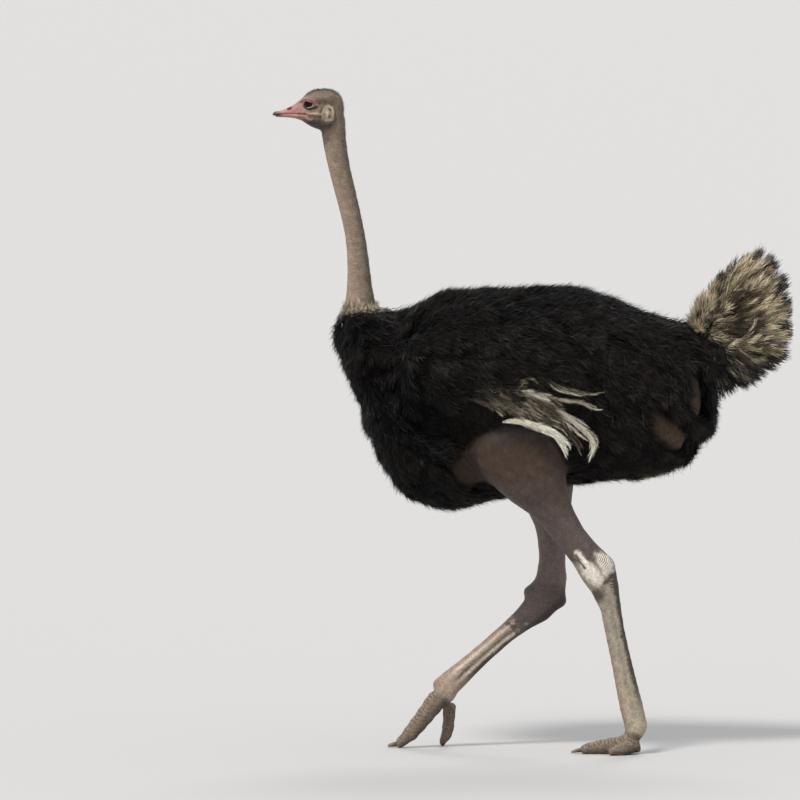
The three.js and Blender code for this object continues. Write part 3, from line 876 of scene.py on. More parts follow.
def head_markings(base, points, normals):
    """Markings of face, crown, ear and throat, laid over a base colour, with painted shade and painted highlights
    among them.
    """
    broken = patches(points, 0.012, 5)
    points = points + 1.5 * MM * wobble(points, 0.011, 61, 62, 63)
    tinted = paint(base, CROWN_BROWN, ramp(points[:, 2] - EYE[2], 12 * MM, 26 * MM) * 0.9)

    def blot(tint, amount, mark, back, up, length, height, tilt=0.0, crisp=1.0):
        """A soft patch, in millimetres from a landmark."""
        nonlocal tinted
        size = mound(points, beside(mark, back, up), length * MM, height * MM, tilt, crisp)
        tinted = paint(tinted, tint, size * amount)

    def line(tint, amount, mark, places, width, crisp=1.0):
        """A soft line through places, in millimetres from a landmark."""
        nonlocal tinted
        size = strokes(points, [beside(mark, *place) for place in places], width * MM, crisp)
        tinted = paint(tinted, tint, size * amount)

    # painted shadow under the jaw, down the throat, and below and behind the ear
    blot(FACE_SHADE_BROWN, 0.88, EYE, 22, -62, 34, 22, -0.5, 1.4)
    line(FACE_SHADE_BROWN * 0.7, 0.95, EYE, ((-16, -58), (10, -80), (34, -98)), 15, 1.5)
    blot(FACE_SHADE_BROWN * 0.8, 0.95, EYE, 54, -86, 32, 20, 0.2, 1.4)
    blot(TEMPLE_DARK, 0.75, EAR, 18, -14, 8, 17, 0.5)
    blot(TEMPLE_DARK, 0.85, EAR, 8, -36, 17, 8, 0.3)
    # lores, brow and temple
    pink = ramp(-points[:, 0], -FACE_X - 26 * MM, -FACE_X - 1 * MM)
    tinted = paint(tinted, FACE_PINK, pink * (0.8 + 0.15 * broken))
    blot(FACE_PALE, 0.9, EYE, -15, -14, 15, 12, 0.2, 1.4)
    blot(FACE_PALE, 0.55, EYE, 22, -25, 20, 6, 0.1)
    blot(colour(150, 128, 122), 0.6, EYE, -2, 23, 22, 6, -0.2)
    blot(TEMPLE_DARK, 0.8, EYE, 36, 4, 13, 12, -0.5)
    blot(TEMPLE_DARK, 0.68 + 0.2 * broken, EYE, 60, 6, 30, 10, -0.1, 1.3)
    blot(TEMPLE_DARK, 0.45 + 0.2 * broken, EYE, 76, 18, 16, 12, -0.1)
    # gape, jaw and the ridge to the ear
    line(colour(178, 122, 114), 0.75, EYE, ((-52, -27), (-6, -27)), 3)
    line(colour(132, 54, 60), 0.85, EYE, ((-36, -32.5), (-7, -33.5), (0, -34)), 1.8)
    line(RIDGE_CREAM, 0.85, EYE, ((-5, -28), (20, -30), (38, -33)), 3.4)
    line(TEMPLE_DARK, 0.65, EYE, ((2, -40), (38, -43)), 4.5)
    line(RIDGE_CREAM * 0.9, 0.6, EYE, ((-40, -37), (-16, -40), (8, -50)), 3.4)
    blot(colour(150, 84, 72), 0.55, EYE, 3, -51, 3.4, 2.6)
    blot(TEMPLE_DARK, 0.8, EYE, 5, -61, 10, 6, -0.6)
    # the eye: red over and behind it, painted shade in its corners, and a pale lower lid over the painted shadow
    # that it casts on the pouch
    line(LID_SHADOW, 0.75, EYE, ((-27, 3), (-16, 11)), 2.4)
    line(LID_PINK, 0.85, EYE, ((-12, 10), (-4, 13), (8, 9.5), (18, 2), (24, -5)), 6.5, 1.5)
    line(EYE_RED, 0.68 + 0.2 * broken, EYE, ((-15, 10), (-8, 15), (3, 12.5), (13, 6), (21, -2), (24, -8)), 3.2)
    # painted shade in the front corner of the eye
    line(TEMPLE_DARK, 0.7, EYE, ((-25, 5), (-16, 10)), 2.4)
    blot(EYE_RED, 0.85, EYE, -15.5, 1.5, 2.6, 4.2)
    blot(colour(104, 40, 40), 0.8, EYE, -13, -33, 6, 3.2)
    # the skin seen in the nostril's recess: its dark red lining, deepened as painted shade
    in_nostril = ellipse(points, (NOSTRIL[0], NOSTRIL[1] - NOSTRIL_DROP), 13 * MM, 7 * MM, 0.35) < 1
    tinted[in_nostril & (points[:, 0] < FACE_X - 12 * MM)] = NOSTRIL_RED_AND_SHADE
    line(LID_SHADOW, 1.0, EYE, ((-14, -6), (-5, -15), (8, -17.5), (18, -14.5), (27, -10)), 4.6, 1.6)
    line(LID_SHADOW, 0.9, EYE, ((14, -11), (19, -4)), 2.8)
    line(colour(190, 172, 166), 0.7, EYE, ((-4, -11.5), (4, -12), (10, -8.5), (13.5, -3)), 1.3)
    blot(EYE_RED, 0.6, EYE, -15, 0, 3, 4)
    blot(EYE_RED * 1.2, 0.8, EYE, 22, -3, 3.2, 3.2)
    line(TEMPLE_DARK * 0.5, 0.85, EYE, ((-13, 9.5), (13, 3)), 1.6)
    # ear: a cream rim, brightest behind, round a darker dish with two openings; painted shade in the hollow round
    # the rim, in the crease before it and in the openings, and a painted highlight on the fold in the dish
    size = ear_outline(points)
    behind = ramp(points[:, 0] - EAR[0], -4 * MM, 12 * MM)
    # painted shade in the hollow round the rim, deepest behind
    tinted = paint(tinted, TEMPLE_DARK, bell(size, 1.20, 0.15) * (0.2 + 0.5 * behind))
    tinted = paint(tinted, EAR_CREAM, ramp(-size + 0.06 * broken, -1.12, -0.85) * 0.9)
    tinted = paint(tinted, EAR_BRIGHT, bell(size, 0.86, 0.12) * (0.10 + 0.70 * behind))
    # painted highlight on the fold in the dish
    blot(EAR_BRIGHT, 0.8, EAR, -3, 6, 6, 10, 0.1)
    blot(colour(196, 158, 140), 0.4, EAR, 15, -2, 3, 18, 0.1)
    # painted shade in the crease before the ear
    line(TEMPLE_DARK, 0.7, EAR, ((-22, 20), (-24, 4)), 2.6)
    # painted shade low in front of the ear
    blot(FACE_SHADE_BROWN, 0.5, EAR, -13, -8, 4, 10, 0.3)
    blot(colour(140, 84, 66), 0.75, EAR, 6, -4, 4, 5)
    # painted shade in the two openings
    for hole in EAR_HOLES:
        tinted = paint(tinted, EAR_OPENING_SHADE, mound(points, *hole) * 0.9)
    middle_strip = 1 - ramp(np.abs(points[:, 1]), 6 * MM, 16 * MM)
    tinted = paint(tinted, CROWN_BROWN, middle_strip * (normals[:, 2] > 0.1) * (points[:, 0] > EYE[0]))
    on_crown = ramp(points[:, 2] - EYE[2], -4 * MM, 14 * MM) * ramp(points[:, 0] - EYE[0], 20 * MM, 60 * MM)
    return paint(tinted, TEMPLE_DARK, on_crown * ramp(patches(points, 0.007, 6), -0.1, 0.7) * 0.45)


def neck_markings(points, normals):
    """Pinkish in front, grey at the sides and dark down the nape. The lighter front is partly painted light, and
    the darker nape partly painted shade, from a light in front; the throat carries painted shadow under the jaw.
    """
    mottled = patches(points, 0.05, 3)
    # the nape, the side turned from the light, is painted darker: partly painted shade, partly its own speckle
    nape = ramp(normals[:, 0] + 0.12 * mottled, 0.25, 0.9)
    # painted shadow under the jaw, down the front of the throat
    throat_shadow = mound(points, beside(EYE, 46, -104), 30 * MM, 30 * MM, 0, 1.5) * ramp(-normals[:, 0], -0.3, 0.5)
    # the front, the side facing the light, is painted lighter and pinker: partly painted light
    front = ramp(-normals[:, 0] + 0.15 * mottled, -0.2, 0.8)
    tinted = paint(NECK_GREY, NECK_PINK, 0.35 + 0.65 * front)
    speckle = ramp(patches(points, 0.008, 77), 0.0, 0.35)
    tinted = paint(tinted, NAPE_DARK, nape * (0.36 + 0.5 * speckle))
    return paint(tinted, FACE_SHADE_BROWN, throat_shadow * 0.75)


def hock_markings(base, points):
    """White skin round the near hock, with dark streaks and short folds across its upper rear."""
    points = points + 3 * MM * wobble(points, 0.024, 71, 72, 73)
    forms = (
        mound(points, by_hock(-25, -7), 50 * MM, 25 * MM, -0.86, 3),
        stroke(points, by_hock(-70, 56), by_hock(-38, 22), 11 * MM, 2),
        mound(points, by_hock(16, 32), 38 * MM, 21 * MM, -0.69, 3),
        mound(points, by_hock(29, 6), 21 * MM, 25 * MM, 0, 3) * 0.65,
    )
    tinted = paint(base, HOCK_WHITE, np.max(forms, axis=0) * 0.95)
    tinted = paint(tinted, THIGH_GREY, mound(points, by_hock(-24, 45), 16 * MM, 11 * MM, 0, 2) * 0.8)
    tinted = paint(tinted, SHANK_DARK, stroke(points, by_hock(-74, 51), by_hock(-46, 10), 5 * MM, 2) * 0.9)
    tinted = paint(tinted, SHANK_DARK, stroke(points, by_hock(42, -13), by_hock(19, -38), 8 * MM) * 0.85)
    return paint(tinted, SHANK_DARK, mound(points, by_hock(-4, -78), 23 * MM, 26 * MM, -0.5, 2) * 0.85)


def leg_markings(points, normals, is_shank, is_toe):
    """Grey-brown thighs and pale, finely speckled shanks with a dark rear edge and a pink front edge. Painted
    shade darkens the tops of the thighs, the rear edges and grooves of the shanks, the far heel and the undersides
    of the toes; painted light brightens the lower far thigh and the ridges of the far shank.
    """
    mottled = patches(points, 0.045, 8)
    fine = patches(points, 0.012, 9)
    # the thigh is painted darker towards its top: painted shade under the body and the wing
    down_thigh = ramp(-points[:, 2], -0.98, -0.66)
    tinted = paint(THIGH_SHADED_BROWN, THIGH_GREY, down_thigh + 0.15 * mottled)
    # and darker still at its very top: painted shade
    tinted = paint(tinted, SKIN_IN_SHADE, ramp(points[:, 2], 0.93, 1.07) * 0.55)
    on_far = (points[:, 1] > 0) * 1.0
    # the lower far thigh is painted lighter: painted light on the far leg, which stands in the body's shade
    tinted = paint(tinted, THIGH_GREY * 1.6, down_thigh * on_far * 0.8)
    pale = paint(SHANK_PALE, SHANK_YELLOW, 1 - ramp(up_shank, 0.1, 0.6))
    pale = paint(pale, SHANK_TAN, on_far * 0.9) * (1 + 0.14 * fine + 0.09 * mottled)[:, None]
    pink = ramp(-rear_shank, 0.35, 0.85) * (1 - ramp(up_shank, 0.45, 0.8))
    shank = paint(pale, SHANK_PINK, pink * 0.55)
    # the rear edge is painted dark: painted shade on the side turned from the light, broken up by speckle
    rear = ramp(rear_shank + 0.14 * fine + 0.08 * mottled + 0.08 * on_far, 0.42, 0.72)
    shank = paint(shank, SHANK_DARK, rear * ramp(up_shank, 0.02, 0.3) * 0.92)
    # the groove is painted dark, most on the far shank: painted shade in the groove
    groove = bell(rear_shank, 0.12, 0.16) * ramp(up_shank, 0.05, 0.2) * (1 - ramp(up_shank, 0.6, 0.8))
    shank = paint(shank, SHANK_DARK, groove * (0.30 + 0.62 * on_far))
    # pale along the ridges of the far shank: painted highlight
    ridges = bell(np.abs(rear_shank + 0.05), 0.42, 0.12) * in_middle
    shank = paint(shank, HOCK_WHITE, ridges * on_far * 0.55)
    ragged = 0.05 * mottled + 0.06 * patches(points * (0.3, 1, 0.3), 0.006, 10)
    shank = paint(shank, THIGH_GREY, ramp(up_shank + ragged, 0.60, 0.68) * on_far)
    tinted = paint(tinted, shank, is_shank)
    back, up = FAR_HOCK
    # painted shadow under the far heel
    heel_shadow = stroke(points, (back + 0.067, up), (back - 0.048, up - 0.102), 15 * MM)
    tinted = paint(tinted, SHANK_DARK * 0.7, heel_shadow * on_far * 0.85)
    tinted = paint(tinted, hock_markings(tinted, points), 1 - on_far)
    lines = ramp(-hock_rules(points), 0.0, 0.7) * ruled * (1 - on_far)
    tinted = paint(tinted, SHANK_DARK, lines * 0.9)
    # the toes are painted darker where they face down: painted shade on the undersides
    toe = paint(TOE_BROWN, TOE_UNDERSIDE_SHADE, 0.35 + 0.3 * fine - (normals @ TOE_UP) * 0.5)
    return paint(tinted, toe, is_toe)


# %% Paint the skin
skin_points = points_of(skin_mesh)
skin_normals = normals_of(skin_mesh)
markings = leg_markings(skin_points, skin_normals, shank_share, toe_share)
neck_share = attribute(skin_mesh, "neck") + head_share
neck_paint = neck_markings(skin_points, skin_normals)
markings = paint(markings, neck_paint, neck_share)
markings = paint(markings, head_markings(neck_paint, skin_points, skin_normals), head_share)
bare_body = bare_patch(skin_points, skin_normals, 1.25)
wrinkled = 1 + 0.5 * patches(skin_points * (1, 1, 0.25), 0.012, 33) + 0.2 * patches(skin_points, 0.009, 34)
# the bare flank is painted darker than the rump: painted shade under the wing; the folds lighter
patch_light_and_shade = 0.30 + 0.65 * mound(skin_points, BARE_PATCHES["rump"][0], 0.045, 0.08, 0.75)
patch_light_and_shade += 0.5 * mound(skin_points, BARE_PATCHES["folds"][0], 0.04, 0.09)
belly_paint = BELLY_BROWN * (wrinkled * patch_light_and_shade)[:, None]
# under the coat the skin is painted near black: painted shade in the gaps between the plumes
body_paint = paint(SKIN_IN_SHADE, belly_paint, bare_body)
markings = paint(markings, body_paint, ramp(attribute(skin_mesh, "feathered"), 0.3, 0.65))
set_markings(skin_mesh, markings)
print("painted", len(markings), "vertices")

# %% Skin material
class Nodes:
    """Builds one procedural material, a node at a time, from the surface's place and its painted colour."""

    def __init__(self, name, **surface):
        self.material = bpy.data.materials.new(name)
        self.material.use_nodes = True
        self.tree = self.material.node_tree
        self.shader = self.tree.nodes["Principled BSDF"]
        for socket, value in surface.items():
            self.shader.inputs[socket.replace("_", " ").title().replace("Ior", "IOR")].default_value = value
        self.place = self.add("ShaderNodeTexCoord").outputs["Object"]
        self.markings = self.painted("Markings", "Color")

    def add(self, kind, links=(), settings=(), **values):
        node = self.tree.nodes.new(kind)
        for name, value in dict(settings).items():
            setattr(node, name, value)
        for name, value in values.items():
            node.inputs[name.replace("_", " ")].default_value = value
        for name, socket in dict(links).items():
            self.tree.links.new(socket, node.inputs[name])
        return node

    def feed(self, socket, given):
        """Gives a socket a link or a plain value."""
        if isinstance(given, bpy.types.NodeSocket):
            self.tree.links.new(given, socket)
        else:
            socket.default_value = given

    def painted(self, name, output="Fac"):
        """A value or colour that was painted on the mesh."""
        return self.add("ShaderNodeAttribute", settings={"attribute_name": name}).outputs[output]

    def noise(self, scale, detail=4.0, roughness=0.6, stretch=None):
        """Fine or broad mottling. A stretch gives the scale along each axis instead."""
        vector = self.place
        if stretch:
            vector = self.add("ShaderNodeMapping", {"Vector": vector}, Scale=stretch).outputs["Vector"]
        values = {"Scale": scale, "Detail": detail, "Roughness": roughness}
        return self.add("ShaderNodeTexNoise", {"Vector": vector}, **values).outputs["Fac"]

    def range(self, value, low, high, to_low, to_high):
        node = self.add("ShaderNodeMapRange", {"Value": value})
        for name, number in zip(("From Min", "From Max", "To Min", "To Max"), (low, high, to_low, to_high)):
            node.inputs[name].default_value = number
        return node.outputs["Result"]

    def mix(self, factor, first, second, blend="MIX"):
        node = self.add("ShaderNodeMix", settings={"data_type": "RGBA", "blend_type": blend})
        colours = [s for s in node.inputs if s.type == "RGBA"]
        for socket, given in zip([node.inputs[0], *colours], (factor, first, second)):
            self.feed(socket, given)
        return next(s for s in node.outputs if s.type == "RGBA")

    def bump(self, height, strength, distance, normal=None):
        links = {"Height": height} if normal is None else {"Height": height, "Normal": normal}
        node = self.add("ShaderNodeBump", links, Distance=distance)
        self.feed(node.inputs["Strength"], strength)
        return node.outputs["Normal"]

    def vary(self, base, value, low, high, to_low, to_high):
        """Multiplies a colour by a value that runs between two limits."""
        return self.mix(1.0, base, self.range(value, low, high, to_low, to_high), "MULTIPLY")

    def finish(self, tinted, normal=None):
        self.feed(self.shader.inputs["Base Color"], tinted)
        if normal is not None:
            self.feed(self.shader.inputs["Normal"], normal)
        return self.material


def skin_material():
    made = Nodes("bare skin", roughness=0.62, specular_ior_level=0.3)
    scaly, ringed, plated = (made.painted(name) for name in ("scaly", "ringed", "plated"))

    def darken(base, value, low, high, to_low, to_high, where=1.0):
        """Varies a colour, only where it is wanted."""
        return made.mix(where, base, made.vary(base, value, low, high, to_low, to_high))

    blotches = made.noise(55.0, 5.0, 0.65)
    spots = made.noise(190.0, 3.0)
    pores = made.noise(420.0, 3.0)
    rings = made.noise(1.0, 4.0, 0.65, (55, 55, 290))
    cells = made.add("ShaderNodeTexVoronoi", {"Vector": made.place}, Scale=270.0, Randomness=0.95)
    cells.feature = "DISTANCE_TO_EDGE"
    # each plate of the toes and shanks is one unit of the painted count, with a dark seam round it
    step = made.add("ShaderNodeMath", {"Value": made.painted("plates")}, {"operation": "FRACT"}).outputs[0]
    centred = made.add("ShaderNodeMath", {"Value": step}, {"operation": "SUBTRACT"}).outputs[0]
    edge = made.add("ShaderNodeMath", {"Value": centred}, {"operation": "ABSOLUTE"}).outputs[0]

    tinted = darken(made.markings, blotches, 0.3, 0.7, 0.80, 1.20)
    tinted = darken(tinted, spots, 0.35, 0.65, 0.80, 1.14)
    tinted = darken(tinted, pores, 0.35, 0.65, 0.86, 1.10)
    tinted = darken(tinted, rings, 0.35, 0.65, 0.80, 1.12, ringed)
    tinted = darken(tinted, cells.outputs["Distance"], 0.0, 0.2, 0.80, 1.0, scaly)
    tinted = darken(tinted, edge, 0.40, 0.5, 1.0, 0.55, plated)
    rough = made.bump(cells.outputs["Distance"], made.range(scaly, 0, 1, 0.12, 0.4), 0.0015)
    rough = made.bump(rings, made.range(ringed, 0, 1, 0.05, 0.6), 0.0018, rough)
    rough = made.bump(made.range(edge, 0.34, 0.5, 1.0, 0.0), plated, 0.002, rough)
    rough = made.bump(spots, 0.3, 0.001, rough)
    return made.finish(tinted, made.bump(pores, 0.25, 0.0006, rough))


set_attribute(skin_mesh, "ringed", np.clip(attribute(skin_mesh, "neck"), 0, 1))
set_attribute(skin_mesh, "scaly", np.clip(shank_share + toe_share, 0, 1))
for name in (*REGIONS, "depth"):
    skin_mesh.attributes.remove(skin_mesh.attributes[name])
set_surface(skin_mesh, skin_material())
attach(skin, "root")
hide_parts(*[n for r, names in REGIONS.items() if r != "bill" for n in names])

# %% [markdown]
# ## Bill, eyes and claws
#
# These are hard parts that sit in or on the skin. The bill's horn is a thin sheath, so it starts from the CAD
# solids at a much finer voxel, smoothed, with a rim round each nostril. An eyeball is a sphere with the
# cornea standing out a little, and the iris almost as dark as the pupil. The claws are worn and ridged.

# %% Bill
HORN_VOXEL = 1.3 * MM
TUCK = 5 * MM  # how far a hard part reaches on under the skin at its root


def hard_piece(name, node, voxel, rounds, shape_points, material):
    """Horn in the place of a CAD node: a finer, smoothed copy of it, shaped and painted."""
    mesh = remeshed(name, merged_copy([node]), voxel)
    points = relax(points_of(mesh), edges_of(mesh), rounds)
    set_points(mesh, points)
    points, tints = shape_points(points, normals_of(mesh))
    set_points(mesh, points)
    set_markings(mesh, tints)
    finished(name, mesh, material, [node])
    print(name, len(mesh.polygons), "faces")


def horn_material(name, gloss):
    made = Nodes(name, roughness=gloss)
    streaks = made.noise(1.0, 4.0, stretch=(60, 260, 260))
    flecks = made.noise(300.0, 3.0)
    tinted = made.vary(made.markings, streaks, 0.3, 0.7, 0.82, 1.14)
    tinted = made.vary(tinted, flecks, 0.3, 0.7, 0.93, 1.06)
    return made.finish(tinted, made.bump(flecks, 0.2, 0.0006, made.bump(streaks, 0.3, 0.001)))


BILL_PINK = colour(164, 112, 108)
BILL_TOP = colour(150, 122, 112)
# a painted highlight
BILL_HIGHLIGHT = colour(208, 192, 172)
# the dark tip of the bill, and painted shade under the lower bill
BILL_DARK = colour(58, 42, 32)
BILL_OCHRE = colour(178, 142, 88)
BILL_LOWER = colour(166, 128, 120)
GAPE_RED = colour(128, 58, 60)
NOSTRIL_PINK = colour(160, 88, 94)
NAIL_HOOK = 3 * MM  # how far the nail comes down over the lower bill


def upper_bill(points, normals):
    slit = ellipse(points, NOSTRIL, 9.5 * MM, 3.8 * MM, 0.35)
    sides = ramp(np.abs(points[:, 1]), 5 * MM, 9 * MM)
    pit = np.exp(-(slit ** 4)) * sides
    rim = bell(slit, 1.5, 0.35) * sides
    moved = points + normals * (0.4 * MM * rim)[:, None]
    moved[:, 2] -= NOSTRIL_DROP * sides * np.exp(-(ellipse(points, NOSTRIL, 17 * MM, 9 * MM, 0.35) ** 2))
    root = ramp(points[:, 0], FACE_X - 5 * MM, FACE_X)
    moved[:, 0] += TUCK * root
    moved[:, 1:] = moved[:, 1:] * (1 - 0.05 * root[:, None]) + np.array([0, GAPE_Z + 0.010]) * 0.05 * root[:, None]
    nail = ramp(-points[:, 0], -BILL_LOW.x - 15 * MM, -BILL_LOW.x - 3 * MM)
    moved[:, 2] -= NAIL_HOOK * nail * (1 - ramp(points[:, 2] - GAPE_Z, 2 * MM, 14 * MM))
    moved += (normals * 2.6 * MM - (2.5 * MM, 0, 0)) * nail[:, None]  # the tip is blunt
    wobbly = points + MM * wobble(points, 0.009, 81, 82, 83)
    tint = paint(BILL_PINK, BILL_TOP, ramp(normals[:, 2], 0.3, 0.9))
    # a painted highlight along the side of the culmen, towards the tip
    start, end = (BILL_LOW.x + 9 * MM, GAPE_Z + 12 * MM), (BILL_LOW.x + 36 * MM, GAPE_Z + 19 * MM)
    culmen_highlight = stroke(wobbly, start, end, 5 * MM)
    tint = paint(tint, BILL_HIGHLIGHT, culmen_highlight * 0.8)
    above_gape = wobbly[:, 2] - GAPE_Z
    tint = paint(tint, GAPE_RED, (1 - ramp(above_gape, 0.5 * MM, 3.5 * MM)) * 0.7)
    tip = ramp(-wobbly[:, 0], -BILL_LOW.x - 30 * MM, -BILL_LOW.x - 14 * MM)
    tip = tip * (1 - ramp(above_gape, 5 * MM, 10 * MM))
    very_tip = ramp(-wobbly[:, 0], -BILL_LOW.x - 8 * MM, -BILL_LOW.x - 3 * MM)
    tint = paint(tint, BILL_DARK, np.maximum(tip, very_tip) * 0.9)
    spot = mound(wobbly, (BILL_LOW.x + 18 * MM, GAPE_Z + 5 * MM), 5 * MM, 3 * MM)
    tint = paint(tint, BILL_OCHRE, spot * 0.45)
    tint = paint(tint, NOSTRIL_PINK, np.exp(-((slit / 2.2) ** 2)) * sides * 0.6)
    # the nostril's pit: its dark red lining, deepened as painted shade
    return moved, paint(tint, NOSTRIL_RED_AND_SHADE, pit)


def lower_bill(points, normals):
    moved = points.copy()
    root = ramp(points[:, 0], FACE_X - 5 * MM, FACE_X)
    moved[:, 0] += TUCK * root
    # the underside is painted darker: painted shade
    tint = paint(BILL_LOWER, BILL_DARK, ramp(-normals[:, 2], 0.5, 1) * 0.5)
    tip = ramp(-points[:, 0], -BILL_LOW.x - 32 * MM, -BILL_LOW.x - 14 * MM)
    moved += normals * (2.2 * MM * ramp(-points[:, 0], -BILL_LOW.x - 16 * MM, -BILL_LOW.x - 3 * MM))[:, None]
    return moved, paint(tint, BILL_DARK, tip * 0.9)


bill_horn = horn_material("bill horn", 0.38)
hard_piece("bill_upper_horn", "bill_upper", HORN_VOXEL, 40, upper_bill, bill_horn)
hard_piece("bill_lower_horn", "bill_lower", HORN_VOXEL, 40, lower_bill, bill_horn)

# %% Claws
CLAW_PALE = colour(128, 112, 92)
CLAW_DARK = colour(70, 58, 48)


def claw(points, normals):
    ridges = np.sin(points[:, 0] / (1.1 * MM)) * 0.15 * MM * ramp(normals[:, 2], 0, 0.6)
    moved = points + normals * ridges[:, None]
    low, high = points.min(0), points.max(0)
    moved[:, 0] += 6 * MM * ramp(points[:, 0], high[0] - 8 * MM, high[0])
    moved[:, 2] = np.maximum(moved[:, 2], 0)
    along = ramp(points[:, 0], low[0], high[0])
    return moved, paint(CLAW_PALE, CLAW_DARK, along)


claw_horn = horn_material("claw horn", 0.5)
for name in SIDES:
    hard_piece(f"claw_horn_{name}", f"claw_{name}", 1.4 * MM, 10, claw, claw_horn)

# %% Eyes
CORNEA = 1.0 * MM  # how far the cornea stands out
IRIS = 0.55  # radius of the iris, as a share of the eyeball
IRIS_BROWN = colour(24, 15, 11)
PUPIL_BLACK = colour(5, 4, 4)
IRIS_RIM = colour(12, 8, 7)
EYEBALL_BROWN = colour(44, 34, 30)


def eye_material():
    made = Nodes("eye", roughness=0.05, specular_ior_level=0.16)
    return made.finish(made.vary(made.markings, made.noise(900.0, 2.0), 0.3, 0.7, 0.7, 1.3))


wet_eye = eye_material()
for name, side in SIDES.items():
    ball = bmesh.new()
    bmesh.ops.create_uvsphere(ball, u_segments=64, v_segments=40, radius=EYE_RADIUS)
    bmesh.ops.rotate(ball, verts=ball.verts, matrix=Vector((0, side, 0)).to_track_quat("Z", "Y").to_matrix())
    centre = Vector(EYE) + Vector((0, side * EYE_OUT, 0))
    bmesh.ops.translate(ball, verts=ball.verts, vec=centre)
    mesh = bpy.data.meshes.new(f"eyeball_{name}")
    ball.to_mesh(mesh)
    ball.free()
    points = points_of(mesh)
    out = (points - np.array(centre)) / EYE_RADIUS
    facing = out @ np.array([-0.12, side, 0.02])
    off_axis = np.sqrt(np.clip(1 - facing**2, 0, 1))
    points += out * (CORNEA * ramp(-off_axis, -IRIS, 0) * (facing > 0))[:, None]
    set_points(mesh, points)
    tint = paint(IRIS_BROWN, PUPIL_BLACK, ramp(-off_axis, -0.34, -0.30))
    tint = paint(tint, IRIS_RIM, ramp(off_axis, 0.50, 0.55))
    tint = paint(tint, EYEBALL_BROWN, ramp(off_axis, 0.62, 0.70))
    set_markings(mesh, tint)
    finished(f"eyeball_{name}", mesh, wet_eye, [f"eye_{name}"])
print("eyes of radius", round(EYE_RADIUS, 4))

# %% [markdown]
# ## Plumes
#
# An ostrich plume is a thin shaft with long, soft, separate barbs on both sides, because nothing hooks the barbs
# together. Hair curves would give the look but don't survive an export, so each plume is real mesh: the shaft is
# a narrow ribbon along a curve, and each barb is a tapered ribbon of one quad and one triangle that bends
# towards the tip. All the plumes of a region are one joined mesh made from arrays. Their bake map puts each
# plume on a tiny patch, at its root's place on an unwrap of the skin.

# %% One joined mesh of plumes
PATCH = 0.003  # width of one plume's patch on the bake map
SHAFT_STATIONS = np.array([0.0, 0.35, 0.7, 1.0])


def curve_point(root, through, tip, t):
    """Points and directions on a curve from root to tip that passes through its middle point."""
    control = 2 * through - (root + tip) / 2
    a, c, b = root[:, None], control[:, None], tip[:, None]
    t = t[..., None]
    point = (1 - t) ** 2 * a + 2 * t * (1 - t) * c + t**2 * b
    ahead = 2 * (1 - t) * (c - a) + 2 * t * (b - c)
    return point, unit(ahead)


def mesh_from_arrays(name, points, quads, triangles, patch, tints):
    """A mesh with its bake map and its markings, from whole arrays."""
    corners = np.concatenate((quads.ravel(), triangles.ravel())).astype(np.int32)
    starts = np.concatenate((np.arange(len(quads)) * 4, len(quads) * 4 + np.arange(len(triangles)) * 3))
    mesh = bpy.data.meshes.new(name)
    mesh.vertices.add(len(points))
    mesh.vertices.foreach_set("co", points.astype(np.float32).ravel())
    mesh.loops.add(len(corners))
    mesh.loops.foreach_set("vertex_index", corners)
    mesh.polygons.add(len(starts))
    mesh.polygons.foreach_set("loop_start", starts.astype(np.int32))
    mesh.update(calc_edges=True)
    bake = mesh.uv_layers.new(name="OFBake")
    bake.data.foreach_set("uv", patch[corners].astype(np.float32).ravel())
    set_markings(mesh, tints)
    return mesh


